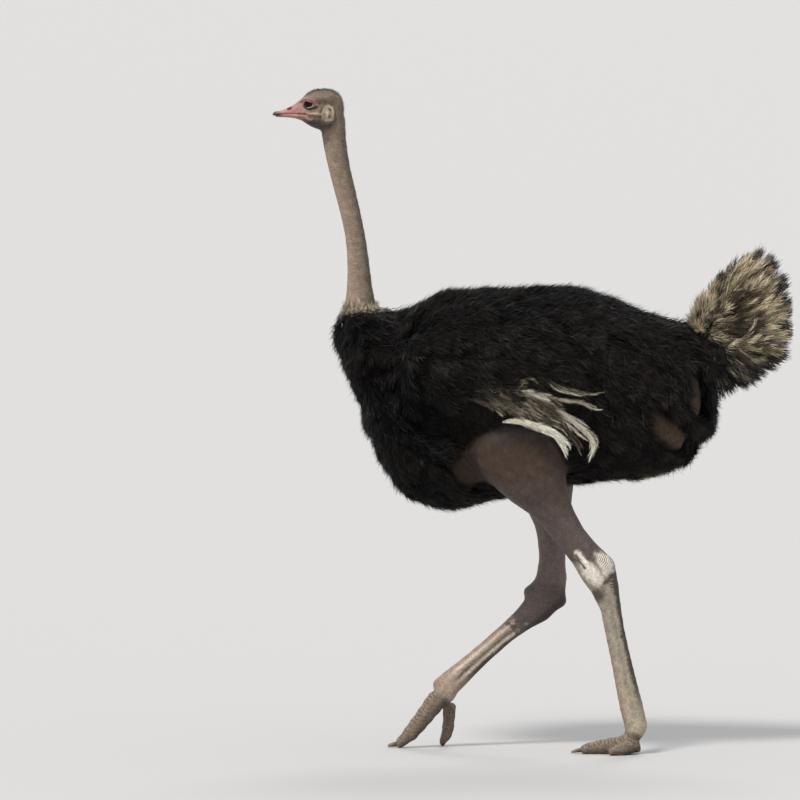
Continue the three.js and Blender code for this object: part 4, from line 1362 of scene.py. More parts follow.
def plume_arrays(draw, root, through, tip, face, where, look):
    """The joined ribbons of many plumes.

    root, through and tip give each shaft, face the direction that the vane faces, and where the root's place
    on the bake map. look holds the numbers that make the kind of plume: pairs of barbs, barb length and width,
    their angle at root and tip, curl, ruffle, the width of the shaft and how far the barbs differ in tone.
    """
    count, pairs = len(root), look["pairs"]
    barbs = 2 * pairs
    even = (np.tile(np.arange(pairs), 2) + 0.5) / pairs
    t = np.clip(look["bare"] + (1 - look["bare"]) * even + draw.normal(0, 0.4 / pairs, (count, barbs)), 0, 0.995)
    sign = np.repeat((-1.0, 1.0), pairs)[None, :, None]
    base, ahead = curve_point(root, through, tip, t)
    above = unit(face[:, None] - (face[:, None] * ahead).sum(-1, keepdims=True) * ahead)
    across = np.cross(ahead, above)

    profile = 0.45 + 0.75 * np.sin(math.pi * np.clip(t, 0, 1) ** 0.8) ** 0.7
    profile = np.where(t > 0.85, np.maximum(profile, look["tuft"]), profile)
    length = (look["barb"] * profile * draw.uniform(0.7, 1.2, (count, barbs)))[..., None]
    size = np.asarray(look.get("scale", np.ones(count)))[:, None, None]
    length = length * size
    angle = look["open"] * (1 - t) + look["close"] * t
    angle = (angle * draw.uniform(0.7, 1.3, (count, barbs)))[..., None]
    ruffle = draw.normal(0, look["ruffle"], (count, barbs, 1))
    out = unit(np.cos(angle) * ahead + np.sin(angle) * sign * across + ruffle * above)
    bent = unit(out + look["bend"] * ahead + draw.normal(0, look["ruffle"], (count, barbs, 3)))
    curled = unit(bent - look["curl"] * above)
    half_way = base + 0.5 * length * out
    end = half_way + 0.5 * length * curled
    twist = draw.uniform(-0.9, 0.9, (count, barbs, 1))
    edge = unit(np.cross(above, out)) * np.cos(twist) + above * np.sin(twist)
    half = 0.5 * look["width"] * draw.uniform(0.7, 1.3, (count, barbs, 1)) * size
    narrow = 0.8 * half * edge
    ribbon = np.stack((base - half * edge, base + half * edge, half_way + narrow, half_way - narrow, end), 2)

    stations = np.broadcast_to(SHAFT_STATIONS, (count, len(SHAFT_STATIONS)))
    line, line_ahead = curve_point(root, through, tip, stations)
    line_across = unit(np.cross(line_ahead, face[:, None]))
    thick = 0.5 * look["shaft"] * (1.05 - stations)[..., None] * size
    shaft = np.stack((line - thick * line_across, line + thick * line_across), 2)

    points = np.concatenate((ribbon.reshape(count, -1, 3), shaft.reshape(count, -1, 3)), 1)
    each = points.shape[1]
    barb_start = np.arange(barbs) * 5
    quad = barb_start[:, None] + (0, 1, 2, 3)
    triangle = barb_start[:, None] + (3, 2, 4)
    shaft_start = barbs * 5 + np.arange(len(SHAFT_STATIONS) - 1) * 2
    shaft_quad = shaft_start[:, None] + (0, 1, 3, 2)
    offsets = np.arange(count)[:, None, None] * each
    quads = (np.concatenate((quad, shaft_quad))[None] + offsets).reshape(-1, 4)
    triangles = (triangle[None] + offsets).reshape(-1, 3)

    # place in the plume's own patch: across from the shaft, and along it
    reach_out = np.broadcast_to(np.array((0.02, 0.02, 0.5, 0.5, 1.0)), (count, barbs, 5)) * sign
    step = np.array((-0.03, 0.03, 0.03, -0.03, 0.0))
    reach_along = t[..., None] * 0.8 + np.abs(reach_out) * 0.15 + step
    shaft_out = np.broadcast_to(np.array((-0.04, 0.04)), (count, len(SHAFT_STATIONS), 2))
    shaft_along = np.broadcast_to(stations[..., None], shaft_out.shape)
    local = np.concatenate(
        (
            np.stack((reach_out, reach_along * 2 - 1), -1).reshape(count, -1, 2),
            np.stack((shaft_out, shaft_along * 1.9 - 0.95), -1).reshape(count, -1, 2),
        ),
        1,
    )
    patch = where[:, None] + 0.5 * PATCH * local
    along = np.concatenate(
        (
            np.broadcast_to(t[..., None], (count, barbs, 5)).reshape(count, -1),
            np.broadcast_to(stations[..., None], shaft_out.shape).reshape(count, -1),
        ),
        1,
    )
    outness = np.concatenate((np.abs(reach_out).reshape(count, -1), np.zeros((count, shaft.shape[1] * 2))), 1)
    return points, quads, triangles, patch, along, outness


def plume_material(name, gloss, sheen, sheen_rough, specular, contrast=0.3):
    soft = {"sheen_weight": sheen, "sheen_roughness": sheen_rough, "specular_ior_level": specular}
    made = Nodes(name, roughness=gloss, **soft)
    flecks = made.noise(260.0, 2.0)
    tinted = made.vary(made.markings, flecks, 0.3, 0.7, 1 - contrast, 1 + contrast)
    tinted = made.vary(tinted, made.noise(18.0, 3.0), 0.3, 0.7, 0.8, 1.2)
    return made.finish(tinted, made.bump(flecks, 0.3, 0.0008))


BOX_SLACK = 5 * MM  # how far the coat may stand out of the CAD box before it is pressed down


def pressed_in(points):
    """Presses barbs that stand out of the CAD box back towards it."""
    low, high = np.array(cad_low) - BOX_SLACK, np.array(cad_high) + BOX_SLACK
    inside = np.clip(points, low, high)
    return inside + 0.3 * (points - inside)


def plume_piece(
    name, draw, root, through, tip, face, where, look, tinting, material, replaced=(), tone=None
):
    arrays = plume_arrays(draw, root, through, tip, face, where, look)
    points, quads, triangles, patch, along, outness = arrays
    points = pressed_in(points)
    tone = np.tile((draw.random(len(root)) if tone is None else tone)[:, None], along.shape[1])
    barbs = 2 * look["pairs"]
    tone[:, : 5 * barbs] += np.repeat(draw.normal(0, look["streak"], (len(root), barbs)), 5, axis=1)
    tints = tinting(points, along, outness, np.clip(tone, 0, 1))
    mesh = mesh_from_arrays(
        name, points.reshape(-1, 3), quads, triangles, patch.reshape(-1, 2), tints.reshape(-1, 3)
    )
    finished(name, mesh, material, replaced)
    print(f"{name}: {len(root)} plumes, {2 * len(quads) + len(triangles)} triangles")


# %% [markdown]
# ### The black body plumage
#
# Roots are scattered over the feathered skin, at least a set distance apart. From its root each plume rises
# through the coat and follows the lie of the feathers over the outline, so its tip ends at the outline's
# surface: backwards over the back and wings, down the breast, down and back at the rump. Neighbours lean
# together a little, which gives the loose clumps of real plumage.

# %% Scatter roots
def scatter(draw, density, spacing):
    """Random places on the rooting ground, weighted by density at each vertex, at least spacing apart."""
    corners = outline_surface[ground_faces]
    area = np.linalg.norm(np.cross(corners[:, 1] - corners[:, 0], corners[:, 2] - corners[:, 0]), axis=1) / 2
    chance = area * density[ground_faces].mean(1)
    tries = int(4.0 * chance.sum() / spacing**2)
    faces = draw.choice(len(ground_faces), tries, p=chance / chance.sum())
    a, b = draw.random((2, tries))
    a, b = np.where(a + b > 1, 1 - a, a), np.where(a + b > 1, 1 - b, b)
    weights = np.column_stack((1 - a - b, a, b))
    over = (outline_surface[ground_faces[faces]] * weights[..., None]).sum(1)
    taken, kept = {}, []
    for index, cell in enumerate(map(tuple, np.floor(over / spacing).astype(int))):
        around = (
            taken.get((cell[0] + i, cell[1] + j, cell[2] + k))
            for i in (-1, 0, 1)
            for j in (-1, 0, 1)
            for k in (-1, 0, 1)
        )
        if cell in taken or any(n is not None and math.dist(over[n], over[index]) < spacing for n in around):
            continue
        taken[cell] = index
        kept.append(index)
    kept = np.array(kept)
    return faces[kept], weights[kept]


def at_roots(values, faces, weights):
    """Values of the rooting ground's vertices, at scattered places."""
    picked = values[ground_faces[faces]]
    shape = weights.reshape(weights.shape + (1,) * (picked.ndim - 2))
    return (picked * shape).sum(1)


def on_outline(points):
    """Nearest places on the outline, and the directions out of it."""
    found = [ground_tree.find_nearest(p)[:2] for p in points.tolist()]
    return np.array([f[0][:] for f in found]), np.array([f[1][:] for f in found])


def lie(points, normals, seed):
    """The direction in which the feathers lie, along the surface."""
    share_along = (points[:, 0] - trunk_low.x) / trunk_length
    share_up = (points[:, 2] - trunk_low.z) / trunk_height
    breast = 1 - ramp(share_along + 0.10 * ramp(share_up, 0.55, 0.85), 0.10, 0.30)
    rump = ramp(share_along, 0.52, 0.86) * (1 - ramp(share_up, 0.72, 0.95))
    side = 1 - ramp(np.abs(normals[:, 2]), 0.5, 0.95)
    flow = np.tile((1.0, 0.0, -0.22), (len(points), 1))
    flow = flow + (0, 0, -0.35) * side[:, None]
    flow = flow * (1 - breast[:, None]) + np.array((0.22, 0.0, -1.0)) * breast[:, None]
    flow = flow * (1 - 0.7 * rump[:, None]) + np.array((0.45, 0.0, -1.0)) * 0.7 * rump[:, None]
    shoulder = 0.8 * mound(points, on_wing_side(0.06, 0.74), 0.13, 0.14)[:, None]
    flow = flow * (1 - shoulder) + np.array((1.0, 0.0, -0.45)) * shoulder
    for axis in range(3):
        flow[:, axis] += 0.34 * patches(points, 0.16, seed + axis) + 0.2 * patches(points, 0.06, seed + 9 + axis)
    along = flow - (flow * normals).sum(1, keepdims=True) * normals
    return unit(along)


# %% Lay the plumes
def lay(faces, weights, length, rise, stiff, seed):
    """Shafts from the skin to the outline, along the lie of the coat. Stiff ones stand off a bend."""
    start = at_roots(outline_surface, faces, weights)
    root = at_roots(ground_points, faces, weights)
    normal = unit(at_roots(outline_normals, faces, weights))
    direction = lie(start, normal, seed)
    half = length[:, None] / 2
    middle_out, middle_normal = on_outline(start + direction * half)
    onward = lie(middle_out, middle_normal, seed)
    tip_out, tip_normal = on_outline(middle_out + onward * half)
    depth = np.linalg.norm(start - root, axis=1, keepdims=True)
    through = middle_out - middle_normal * depth * 0.42
    straight = middle_out + unit(middle_out - start) * half
    stands_off = ((straight - tip_out) * tip_normal).sum(1, keepdims=True) > 0
    tip = tip_out + stiff[:, None] * stands_off * (straight - tip_out) + tip_normal * rise[:, None]
    return root, through, tip, middle_normal


def gather_tips(through, tip, every, pull):
    """Leans each plume towards the nearest leader, so that the coat falls in clumps."""
    leaders = np.arange(0, len(tip), every)
    lookup = KDTree(len(leaders))
    for index in leaders:
        lookup.insert(through[index], int(index))
    lookup.balance()
    nearest_leader = np.array([lookup.find(p)[1] for p in through.tolist()])
    gap = tip[nearest_leader] - tip
    close = ramp(-np.linalg.norm(gap, axis=1), -0.09, -0.03)[:, None]
    return through + 0.3 * pull * close * gap, tip + pull * close * gap, nearest_leader


def unwrap(points, axis_low, axis_high):
    """A place on the bake map for each root: round the body and along it."""
    centre_z = (axis_low[2] + axis_high[2]) / 2
    round_body = np.arctan2(points[:, 1], points[:, 2] - centre_z) / (2 * math.pi) + 0.5
    along = (points[:, 0] - axis_low[0]) / (axis_high[0] - axis_low[0])
    return 0.01 + 0.98 * np.clip(np.column_stack((round_body, along)), 0, 1)


BODY_LOOK = dict(
    pairs=21, bare=0.10, barb=44 * MM, width=2.1 * MM, open=0.85, close=0.38,
    tuft=0.55, bend=0.45, curl=0.10, ruffle=0.22, shaft=1.2 * MM, streak=0.20,
)
BLACK = colour(20, 18, 17)
# painted shade, deep in the coat and under the wing
BLACK_SHADE = colour(4, 3, 3)
BLACK_BROWN = colour(34, 27, 22)
BLACK_GREY_HIGHLIGHT = colour(54, 51, 50)
FRINGE_TAN = colour(112, 96, 68)


def black_tint(points, along, outness, tone):
    """Black, a little browner or greyer from clump to clump, and darkest at the roots and under the wing. The grey
    of the outer barbs is partly a painted highlight, and the darkness at the roots and under the wing is painted
    shade.
    """
    rear = ramp(points[..., 0], *on_trunk(0.5, 0)[:1], on_trunk(0.9, 0)[0])
    tinted = paint(BLACK, BLACK_BROWN, ramp(tone, 0.5, 0.9) * (0.65 + 0.35 * rear))
    # grey on the outer barbs of some clumps: partly a painted highlight
    tinted = paint(tinted, BLACK_GREY_HIGHLIGHT, ramp(-tone, -0.40, -0.08) * ramp(outness + along, 0.9, 1.7) * 0.85)
    on_top = ramp(points[..., 2], *(on_trunk(0, up)[1] for up in (0.84, 0.96)))
    tinted = tinted * (1 - 0.35 * on_top * ramp(points[..., 0], -0.3, -0.1))[..., None]
    # painted shade at the roots, deep in the coat
    tinted = paint(tinted, BLACK_SHADE, 1 - ramp(along, 0.25, 0.7))
    flat = points.reshape(-1, 3)
    # painted shade below the wing's free edge and in the hollow in front of the thigh
    under = below_edge(flat, 0.26, 2.0 * HOLLOW_WIDTH)
    shaded_pocket = mound(flat, on_wing_side(0.10, 0.10), 0.085, 0.19, 0.43, 1.6)
    under = np.maximum(under * 0.8, shaded_pocket).reshape(along.shape)
    tinted = paint(tinted, BLACK_SHADE, under * ramp(np.abs(points[..., 1]), 0.08, 0.14) * 0.96)
    fringe = mound(flat, on_trunk(0.815, 0.13), 0.050, 0.020, 0.25).reshape(along.shape)
    return paint(tinted, FRINGE_TAN, fringe * ramp(tone, 0.25, 0.5) * ramp(along, 0.3, 0.7) * 0.8)


draw = np.random.default_rng(41)
black_plumage = plume_material("black plumage", 0.45, 0.05, 0.4, 0.11, 0.5)
bare_now = bare_patch(outline_surface, outline_normals)
from_neck = reach["neck"]
rooted = np.maximum(ramp(coat_depth, 1 * MM, 5 * MM), ramp(-from_neck, -40 * MM, -20 * MM))
cover = ramp(feathered, 0.3, 0.8) * rooted * (1 - ramp(bare_now, 0.3, 0.6))
cover *= 1 - ramp(ground_share["tail"], 0.15, 0.45)
thin_spots = ramp(-from_neck, -90 * MM, -40 * MM) + mound(outline_surface, on_wing_side(0.08, 0.70), 0.09, 0.12)
thin_spots += mound(outline_surface, (thigh_high.x - 0.11, thigh_high.z - 0.18), 0.09, 0.07)
cover *= 1 + 1.5 * np.clip(thin_spots, 0, 1)
BODY_SPACING = 11.6 * MM
BODY_PLUME = 98 * MM  # mean length of a plume
faces, weights = scatter(draw, cover, BODY_SPACING)
starts = at_roots(outline_surface, faces, weights)
share_along = (starts[:, 0] - trunk_low.x) / trunk_length
length = BODY_PLUME * draw.uniform(0.75, 1.25, len(faces)) * (0.72 + 0.28 * ramp(share_along, 0.0, 0.25))
rise = draw.normal(-6 * MM, 4 * MM, len(faces))
outwards = at_roots(outline_normals, faces, weights)
size = 0.4 + 0.6 * ramp(at_roots(reach["thigh"], faces, weights), 5 * MM, 75 * MM)  # small beside the thigh
length *= size
before_crease = mound(starts, on_wing_side(0.00, 0.78), 0.07, 0.10)
length *= 1 + 0.5 * before_crease
rise += 9 * MM * before_crease
on_top = ramp(outwards[:, 2], 0.2, 0.8)
over_rump = ramp(share_along, 0.56, 0.68) * (1 - ramp(share_along, 0.90, 0.98))
rise -= (9 + 9 * over_rump) * MM * on_top
wing_share = at_roots(ground_share["wing"], faces, weights)
stiff = np.clip(draw.normal(0.35, 0.2, len(faces)), 0, 1)
stiff = np.where(wing_share > 0.5, np.maximum(stiff, 0.75), stiff) * (1 - 0.85 * on_top)
root, through, tip, face = lay(faces, weights, length, rise, stiff, 21)
through, tip, clump = gather_tips(through, tip, 14, 0.55)
ruffled = (5 + 5 * (1 - ramp(share_along, 0.05, 0.18))) * MM  # the breast is the most ruffled
tip += face * (draw.normal(0, 1, len(faces))[clump] * ruffled)[:, None]
clump_tone = 0.7 * draw.random(len(faces))[clump] + 0.3 * draw.random(len(faces))
kept = (bare_patch(tip, face, 0.88) < 0.5) & (bare_patch(through, face, 0.93) < 0.5)
thigh_tree = surface_tree(BARE["thigh"])
over_thigh = distances(thigh_tree, tip) < (11 + 13 * ramp(size, 0.5, 0.9)) * MM
over_thigh &= distances(thigh_tree, through) < 45 * MM
kept &= ~(over_thigh & (starts[:, 2] > 0.93) & (starts[:, 0] < 0.07))
root, through, tip, face, clump = root[kept], through[kept], tip[kept], face[kept], clump[kept]
wing_share, clump_tone, size = wing_share[kept], clump_tone[kept], size[kept]
where = unwrap(root, trunk_low, trunk_high)
print("body plumes", len(root))

# %% Divide them over the pieces
share_along = (root[:, 0] - trunk_low.x) / trunk_length
share_up = (root[:, 2] - trunk_low.z) / trunk_height
on_left = root[:, 1] < 0
on_wing = wing_share > 0.5
breast = ~on_wing & (share_along < 0.24)
back = ~on_wing & ~breast & (share_up > 0.62) & (share_along < 0.72)
belly = ~on_wing & ~breast & ~back & (share_along < 0.62)
rump = ~on_wing & ~breast & ~back & ~belly
BODY_PARTS = {"wing": on_wing, "breast": breast, "back": back, "belly": belly, "rump": rump}
for part, chosen in BODY_PARTS.items():
    for name, half in (("left", on_left), ("right", ~on_left)):
        mine = chosen & half
        plume_piece(
            f"plumes_{part}_{name}", draw, root[mine], through[mine], tip[mine], face[mine], where[mine],
            {**BODY_LOOK, "scale": size[mine]}, black_tint, black_plumage, tone=clump_tone[mine],
        )

# %% [markdown]
# ### The tail
#
# The tail is a loose fan of curly plumes, dirty white at heart, tan and brown further out, and black in the lower
# third. They all start from the rump and end on the outline. Those that lie on the fan's sides are shorter and
# paler, and their tips curl away, so the fan shows swirls and dark hollows. Along the rim, in the gaps between
# clumps and at the roots of the barbs, painted shade darkens the plumes, black along the rim.

# %% Tail plumes
TAIL_LOW, TAIL_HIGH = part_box("tail")
TAIL_BASE = np.array((TAIL_LOW.x + 0.035, 0.0, TAIL_LOW.z + 0.40 * (TAIL_HIGH.z - TAIL_LOW.z)))
TAIL_CREAM = colour(222, 208, 178)
TAIL_TAN = colour(148, 130, 98)
TAIL_BROWN = colour(76, 64, 48)
TAIL_DARK = colour(22, 19, 16)
TAIL_LOOK = dict(
    pairs=30, bare=0.14, barb=52 * MM, width=1.8 * MM, open=0.48, close=0.18,
    tuft=0.6, bend=0.55, curl=0.35, ruffle=0.25, shaft=1.8 * MM, streak=0.10,
)
TAIL_SPACING = 15.5 * MM
draw = np.random.default_rng(77)
faces, weights = scatter(draw, ramp(ground_share["tail"], 0.2, 0.6), TAIL_SPACING)
ends = at_roots(outline_surface, faces, weights)
face = unit(at_roots(outline_normals, faces, weights))
away = ends - TAIL_BASE
reach_out = np.linalg.norm(away, axis=1)
fan = np.arctan2(away[:, 2], away[:, 0])
rim = 1 - np.abs(face[:, 1])
length = np.minimum(draw.uniform(0.15, 0.23, len(ends)) + 0.08 * rim, reach_out * 0.96)
root = ends - away / reach_out[:, None] * length[:, None]
root[:, 1] *= 0.55
root = root - face * 22 * MM
curve_side = np.cross(face, unit(away)) * draw.normal(0, 0.10, (len(ends), 1)) * length[:, None]
tip = ends - face * draw.uniform(1 * MM, 9 * MM, (len(ends), 1))
through = (root + ends) / 2 + face * 9 * MM * (1 - rim[:, None]) + curve_side
through, tip, clump = gather_tips(through, tip, 7, 0.52)
tail_tone = 0.45 * draw.random(len(ends))[clump] + 0.55 * draw.random(len(ends))
vane = face * (1 - 0.5 * rim[:, None]) + np.sign(face[:, 1:2]) * (0, 0.4, 0)
vane = unit(vane + draw.normal(0, 0.25, face.shape))
fan_rim, fan_angle = rim[:, None], fan[:, None]
on_tail = place_in((TAIL_LOW, TAIL_HIGH))

# centre, half length, half height and tilt of the clean places near the base
TAIL_BRIGHT = [(on_tail(0.15, 0.52), 0.055, 0.090, 0.3), (on_tail(0.40, 0.34), 0.055, 0.040, -0.4)]


def tail_tint(points, along, outness, tone):
    flat = points.reshape(-1, 3)
    low_third = 1 - ramp(fan_angle + 0.3 * (tone - 0.5), -0.52, -0.22)
    tan = paint(TAIL_CREAM, TAIL_TAN, ramp(tone, 0.22, 0.46))
    tan = paint(tan, TAIL_BROWN, ramp(tone + 0.12 * along, 0.55, 0.75))
    # the outer barbs of the darker plumes are painted darker: painted shade in the gaps between clumps
    tan = paint(tan, TAIL_DARK, ramp(outness + 1.6 * tone, 1.1, 2.0) * 0.75)
    # darker near the roots: painted shade deep in the fan
    tan = paint(tan, TAIL_DARK, 0.3 * (1 - ramp(along, 0.10, 0.45)) * (0.5 + 0.5 * outness))
    bright = sum(mound(flat, *form) for form in TAIL_BRIGHT).reshape(along.shape)
    tan = paint(tan, TAIL_CREAM, bright * ramp(-tone, -0.70, -0.45))
    # darker towards the tips where the fan turns its edge away: painted shade along the rim
    rim_shade = ramp(fan_rim, 0.35, 0.75) * ramp(along + 0.25 * outness + 0.3 * (tone - 0.5), 0.72, 0.95)
    rim_shade *= 1 - 0.85 * ramp(fan_angle, 0.92, 1.12)  # the front edge is pale to its tips
    tan = paint(tan, TAIL_DARK, rim_shade * 0.9)
    return paint(tan, TAIL_DARK, low_third * np.maximum(ramp(tone, 0.18, 0.36), 0.75 * (1 - bright)))


tail_plumage = plume_material("tail plumage", 0.6, 0.15, 0.4, 0.35)
where = unwrap(root, TAIL_LOW, TAIL_HIGH)
plume_piece(
    "plumes_tail", draw, root, through, tip, vane, where, TAIL_LOOK, tail_tint, tail_plumage,
    tone=tail_tone,
)

# %% [markdown]
# ### The white plumes of the wing
#
# The long primaries of a cock are white. Here they hang in four curved locks below and behind the wing, out of
# shorter, dark coverts with cream tips. Each lock is a bundle of plumes that follow one line, given by places in
# the box of the CAD node that it replaces, and every plume covers a part of the line.

# %% White plumes
WHITE = colour(240, 236, 222)
WHITE_TAN = colour(180, 165, 134)
COVERT_BROWN = colour(64, 55, 42)
WHITE_LOOK = dict(
    pairs=28, bare=0.04, barb=22 * MM, width=0.8 * MM, open=0.38, close=0.15,
    tuft=0.75, bend=0.5, curl=0.12, ruffle=0.30, shaft=1.0 * MM, streak=0.35,
)
# a line in shares of the box's length and height; plumes; whiteness; looseness in millimetres
LOCKS = [
    [[(0.21, 0.57), (0.37, 0.58), (0.49, 0.52), (0.60, 0.45), (0.68, 0.33), (0.71, 0.21)], 36, 1.0, 6.5],
    [[(0.54, 0.80), (0.63, 0.72), (0.75, 0.59), (0.84, 0.49), (0.91, 0.37), (0.88, 0.11)], 30, 0.85, 6.0],
    [[(0.60, 0.88), (0.74, 0.83), (0.82, 0.82), (0.90, 0.75), (0.97, 0.74)], 12, 0.65, 4.0],
    [[(0.55, 1.10), (0.64, 1.00), (0.76, 0.94), (0.90, 0.91), (1.00, 0.93)], 14, 0.55, 4.5],
    [[(0.42, 0.80), (0.55, 0.72), (0.70, 0.52), (0.80, 0.34), (0.84, 0.22)], 16, 0.35, 8.0],
    [[(0.24, 0.96), (0.36, 0.93), (0.50, 0.90), (0.58, 0.82)], 16, 0.75, 5.5],
    [[(0.30, 1.00), (0.34, 1.08), (0.40, 1.12), (0.46, 1.08)], 9, 0.40, 7.0],
]
COVERTS = 210
PART_OF_LOCK = 0.42  # share of the line that one plume covers


def along_line(line, shares):
    """Places on a line of several points, by shares of its length."""
    line = np.array(line)
    steps = np.concatenate(([0], np.cumsum(np.linalg.norm(np.diff(line, axis=0), axis=1))))
    return np.column_stack([np.interp(shares * steps[-1], steps, line[:, axis]) for axis in (0, 1)])


def white_side(name, side):
    low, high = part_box(f"wing_plumes_{name}")
    shape = np.array(high - low)
    outer = side * max(abs(low.y), abs(high.y))

    def spot(place, out):
        """A place by its shares of the box's length and height, and its depth in from the outer face."""
        back, up = place[:, 0] * shape[0], place[:, 1] * shape[2]
        return np.column_stack((low.x + back, outer - side * out, low.z + up))

    draw = np.random.default_rng(90 + side)
    roots, throughs, tips, whites, sizes = [], [], [], [], []
    for line, count, white, loose in LOCKS:
        start = np.linspace(-0.05, 1 - PART_OF_LOCK, count) + draw.normal(0, 0.02, count)
        part = PART_OF_LOCK * draw.uniform(0.8, 1.05, count)
        aside = draw.normal(0, loose * MM, (count, 2)) / shape[[0, 2]]
        for store, share_of, spread, deep in (
            (roots, 0.0, 0.5, 20 * MM),
            (throughs, 0.5, 1.0, 8 * MM),
            (tips, 1.0, 1.1, 7 * MM),
        ):
            place = along_line(line, np.clip(start + share_of * part, 0, 1)) + aside * spread
            store.append(spot(place, deep + draw.uniform(-4 * MM, 6 * MM, count)))
        whites.append(np.full(count, white) - draw.uniform(0, 0.35, count))
        sizes.append(draw.uniform(0.6, 1.2, count) * (0.6 + 0.4 * white))
    along, up = draw.uniform(-0.05, 0.50, COVERTS), draw.uniform(0, 1, COVERTS)
    lowest, highest = 0.84 - 0.50 * along, 1.06 - 0.24 * along
    up = lowest + up * (highest - lowest)
    slope = draw.normal(-0.10, 0.05, COVERTS)
    reach_on = draw.uniform(0.13, 0.20, COVERTS)
    roots.append(spot(np.column_stack((along, up)), draw.uniform(22 * MM, 34 * MM, COVERTS)))
    middle_place = np.column_stack((along + 0.5 * reach_on, up + 0.4 * slope))
    throughs.append(spot(middle_place, draw.uniform(8 * MM, 20 * MM, COVERTS)))
    tips.append(spot(np.column_stack((along + reach_on, up + slope)), draw.uniform(3 * MM, 14 * MM, COVERTS)))
    whites.append(draw.beta(0.6, 2.2, COVERTS) * 0.85)
    sizes.append(draw.uniform(0.8, 1.3, COVERTS))
    root, through, tip = (np.concatenate(parts) for parts in (roots, throughs, tips))
    whiteness = np.concatenate(whites)[:, None]
    face = unit(draw.normal(0, 0.4, root.shape) + (0, 1.2 * side, 0.15))

    def white_tint(points, along, outness, tone):
        clean = ramp(whiteness + 0.25 * (tone - 0.5), 0.3, 0.85)
        dull = paint(COVERT_BROWN, WHITE_TAN, ramp(along + whiteness, 0.8, 1.3) * 0.8)
        tinted = paint(dull, WHITE, clean)
        tinted = paint(tinted, COVERT_BROWN, ramp(-tone, -0.22, -0.02) * (0.75 - 0.35 * clean))
        return paint(tinted, WHITE_TAN, (1 - ramp(along, 0.05, 0.5)) * 0.3 * clean)

    look = {**WHITE_LOOK, "scale": np.concatenate(sizes)}
    where = unwrap(root, low, high)
    plume_piece(
        f"plumes_white_{name}", draw, root, through, tip, face, where, look, white_tint,
        white_plumage, [f"wing_plumes_{name}"],
    )


white_plumage = plume_material("white plumage", 0.6, 0.2, 0.4, 0.35)
for name, side in SIDES.items():
    white_side(name, side)

# %% [markdown]
# ### Down and bristles
#
# The neck isn't quite bare: it carries sparse short bristles, which thicken to a pale downy collar where the neck
# enters the black plumage. Fine dark bristles on the crown and nape give the head its fuzzy edge, and long lashes
# shade the eyes. A bristle is one tapered ribbon, again of one quad and one triangle.

# %% Bristles
BRISTLE_PALE = colour(160, 144, 124)
BRISTLE_BROWN = colour(82, 70, 58)
BRISTLE_DARK = colour(42, 36, 31)
DOWN_PALE = colour(204, 192, 170)
DOWN_TAN = colour(146, 130, 108)
DOWN_BROWN = colour(60, 50, 40)
CROWN_PALE = colour(178, 162, 142)
CROWN_SHADE = colour(96, 84, 70)
CREST_OLIVE = colour(54, 48, 37)
LASH_BLACK = colour(24, 20, 18)


def hair_piece(name, draw, root, tip, sag, width, where, tints, material):
    """Tapered ribbons from root to tip that sag a little in the middle."""
    count = len(root)
    half_way = (root + tip) / 2 + sag
    edge = unit(np.cross(tip - root, draw.normal(size=(count, 3)))) * (width / 2)[:, None]
    points = np.stack((root - edge, root + edge, half_way + 0.7 * edge, half_way - 0.7 * edge, tip), 1)
    start = np.arange(count)[:, None] * 5
    local = 0.5 * PATCH * np.array([(-0.9, -0.9), (0.9, -0.9), (0.8, 0.0), (-0.8, 0.0), (0.0, 0.9)])
    mesh = mesh_from_arrays(
        name, pressed_in(points).reshape(-1, 3), start + (0, 1, 2, 3), start + (3, 2, 4),
        (where[:, None] + local).reshape(-1, 2), np.repeat(tints, 5, 0),
    )
    finished(name, mesh, material)
    print(f"{name}: {count} bristles")


def stand(draw, faces, weights, length, lift, flow):
    """Roots and tips of hair that stands on bare skin: lift says how far it rises from it."""
    start = at_roots(outline_surface, faces, weights)
    normal = unit(at_roots(outline_normals, faces, weights))
    along = flow - (flow * normal).sum(1, keepdims=True) * normal
    direction = unit(unit(along) + lift * normal + draw.normal(0, 0.25, normal.shape))
    return start - normal * 1.5 * MM, start + direction * length[:, None], normal


NECK_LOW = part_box("neck_lower")[0].z
NECK_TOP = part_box("neck_upper")[1].z
neck_ground = ground_share["neck"] > 0.5
neck_line = np.polyfit(outline_surface[neck_ground, 2], outline_surface[neck_ground, 0], 4)


def neck_middle_x(height):
    return np.polyval(neck_line, height)


def unwrap_upright(points, low, high):
    """The bake map of an upright part: round it and up it."""
    turn = np.arctan2(points[:, 1], points[:, 0] - neck_middle_x(points[:, 2])) / (2 * math.pi) + 0.5
    return 0.01 + 0.98 * np.clip(np.column_stack((turn, (points[:, 2] - low) / (high - low))), 0, 1)


NECK_SPACING = 2.9 * MM
draw = np.random.default_rng(12)
soft_down = plume_material("down", 0.7, 0.1, 0.5, 0.15)
at_nape = ramp(outline_normals[:, 0], 0.1, 0.8)
faces, weights = scatter(draw, ground_share["neck"] * (0.35 + 0.65 * at_nape), NECK_SPACING)
nape = at_roots(at_nape, faces, weights)
length = draw.uniform(2.5 * MM, 4.5 * MM, len(faces)) + 3 * MM * nape * draw.random(len(faces))
flow = np.tile((0.15, 0.0, -1.0), (len(faces), 1))
root, tip, normal = stand(draw, faces, weights, length, 0.30, flow)
tone = draw.random(len(faces))
tints = paint(BRISTLE_PALE, BRISTLE_BROWN, ramp(tone, 0.3, 0.6))
# the bristles of the nape are painted darker, partly as painted shade on the side turned from the light
tints = paint(tints, BRISTLE_DARK, nape * 0.9)
hair_piece(
    "bristles_neck", draw, root, tip, normal * 0.4 * MM, draw.uniform(0.45 * MM, 0.8 * MM, len(root)),
    unwrap_upright(root, NECK_LOW, NECK_TOP), tints, soft_down,
)

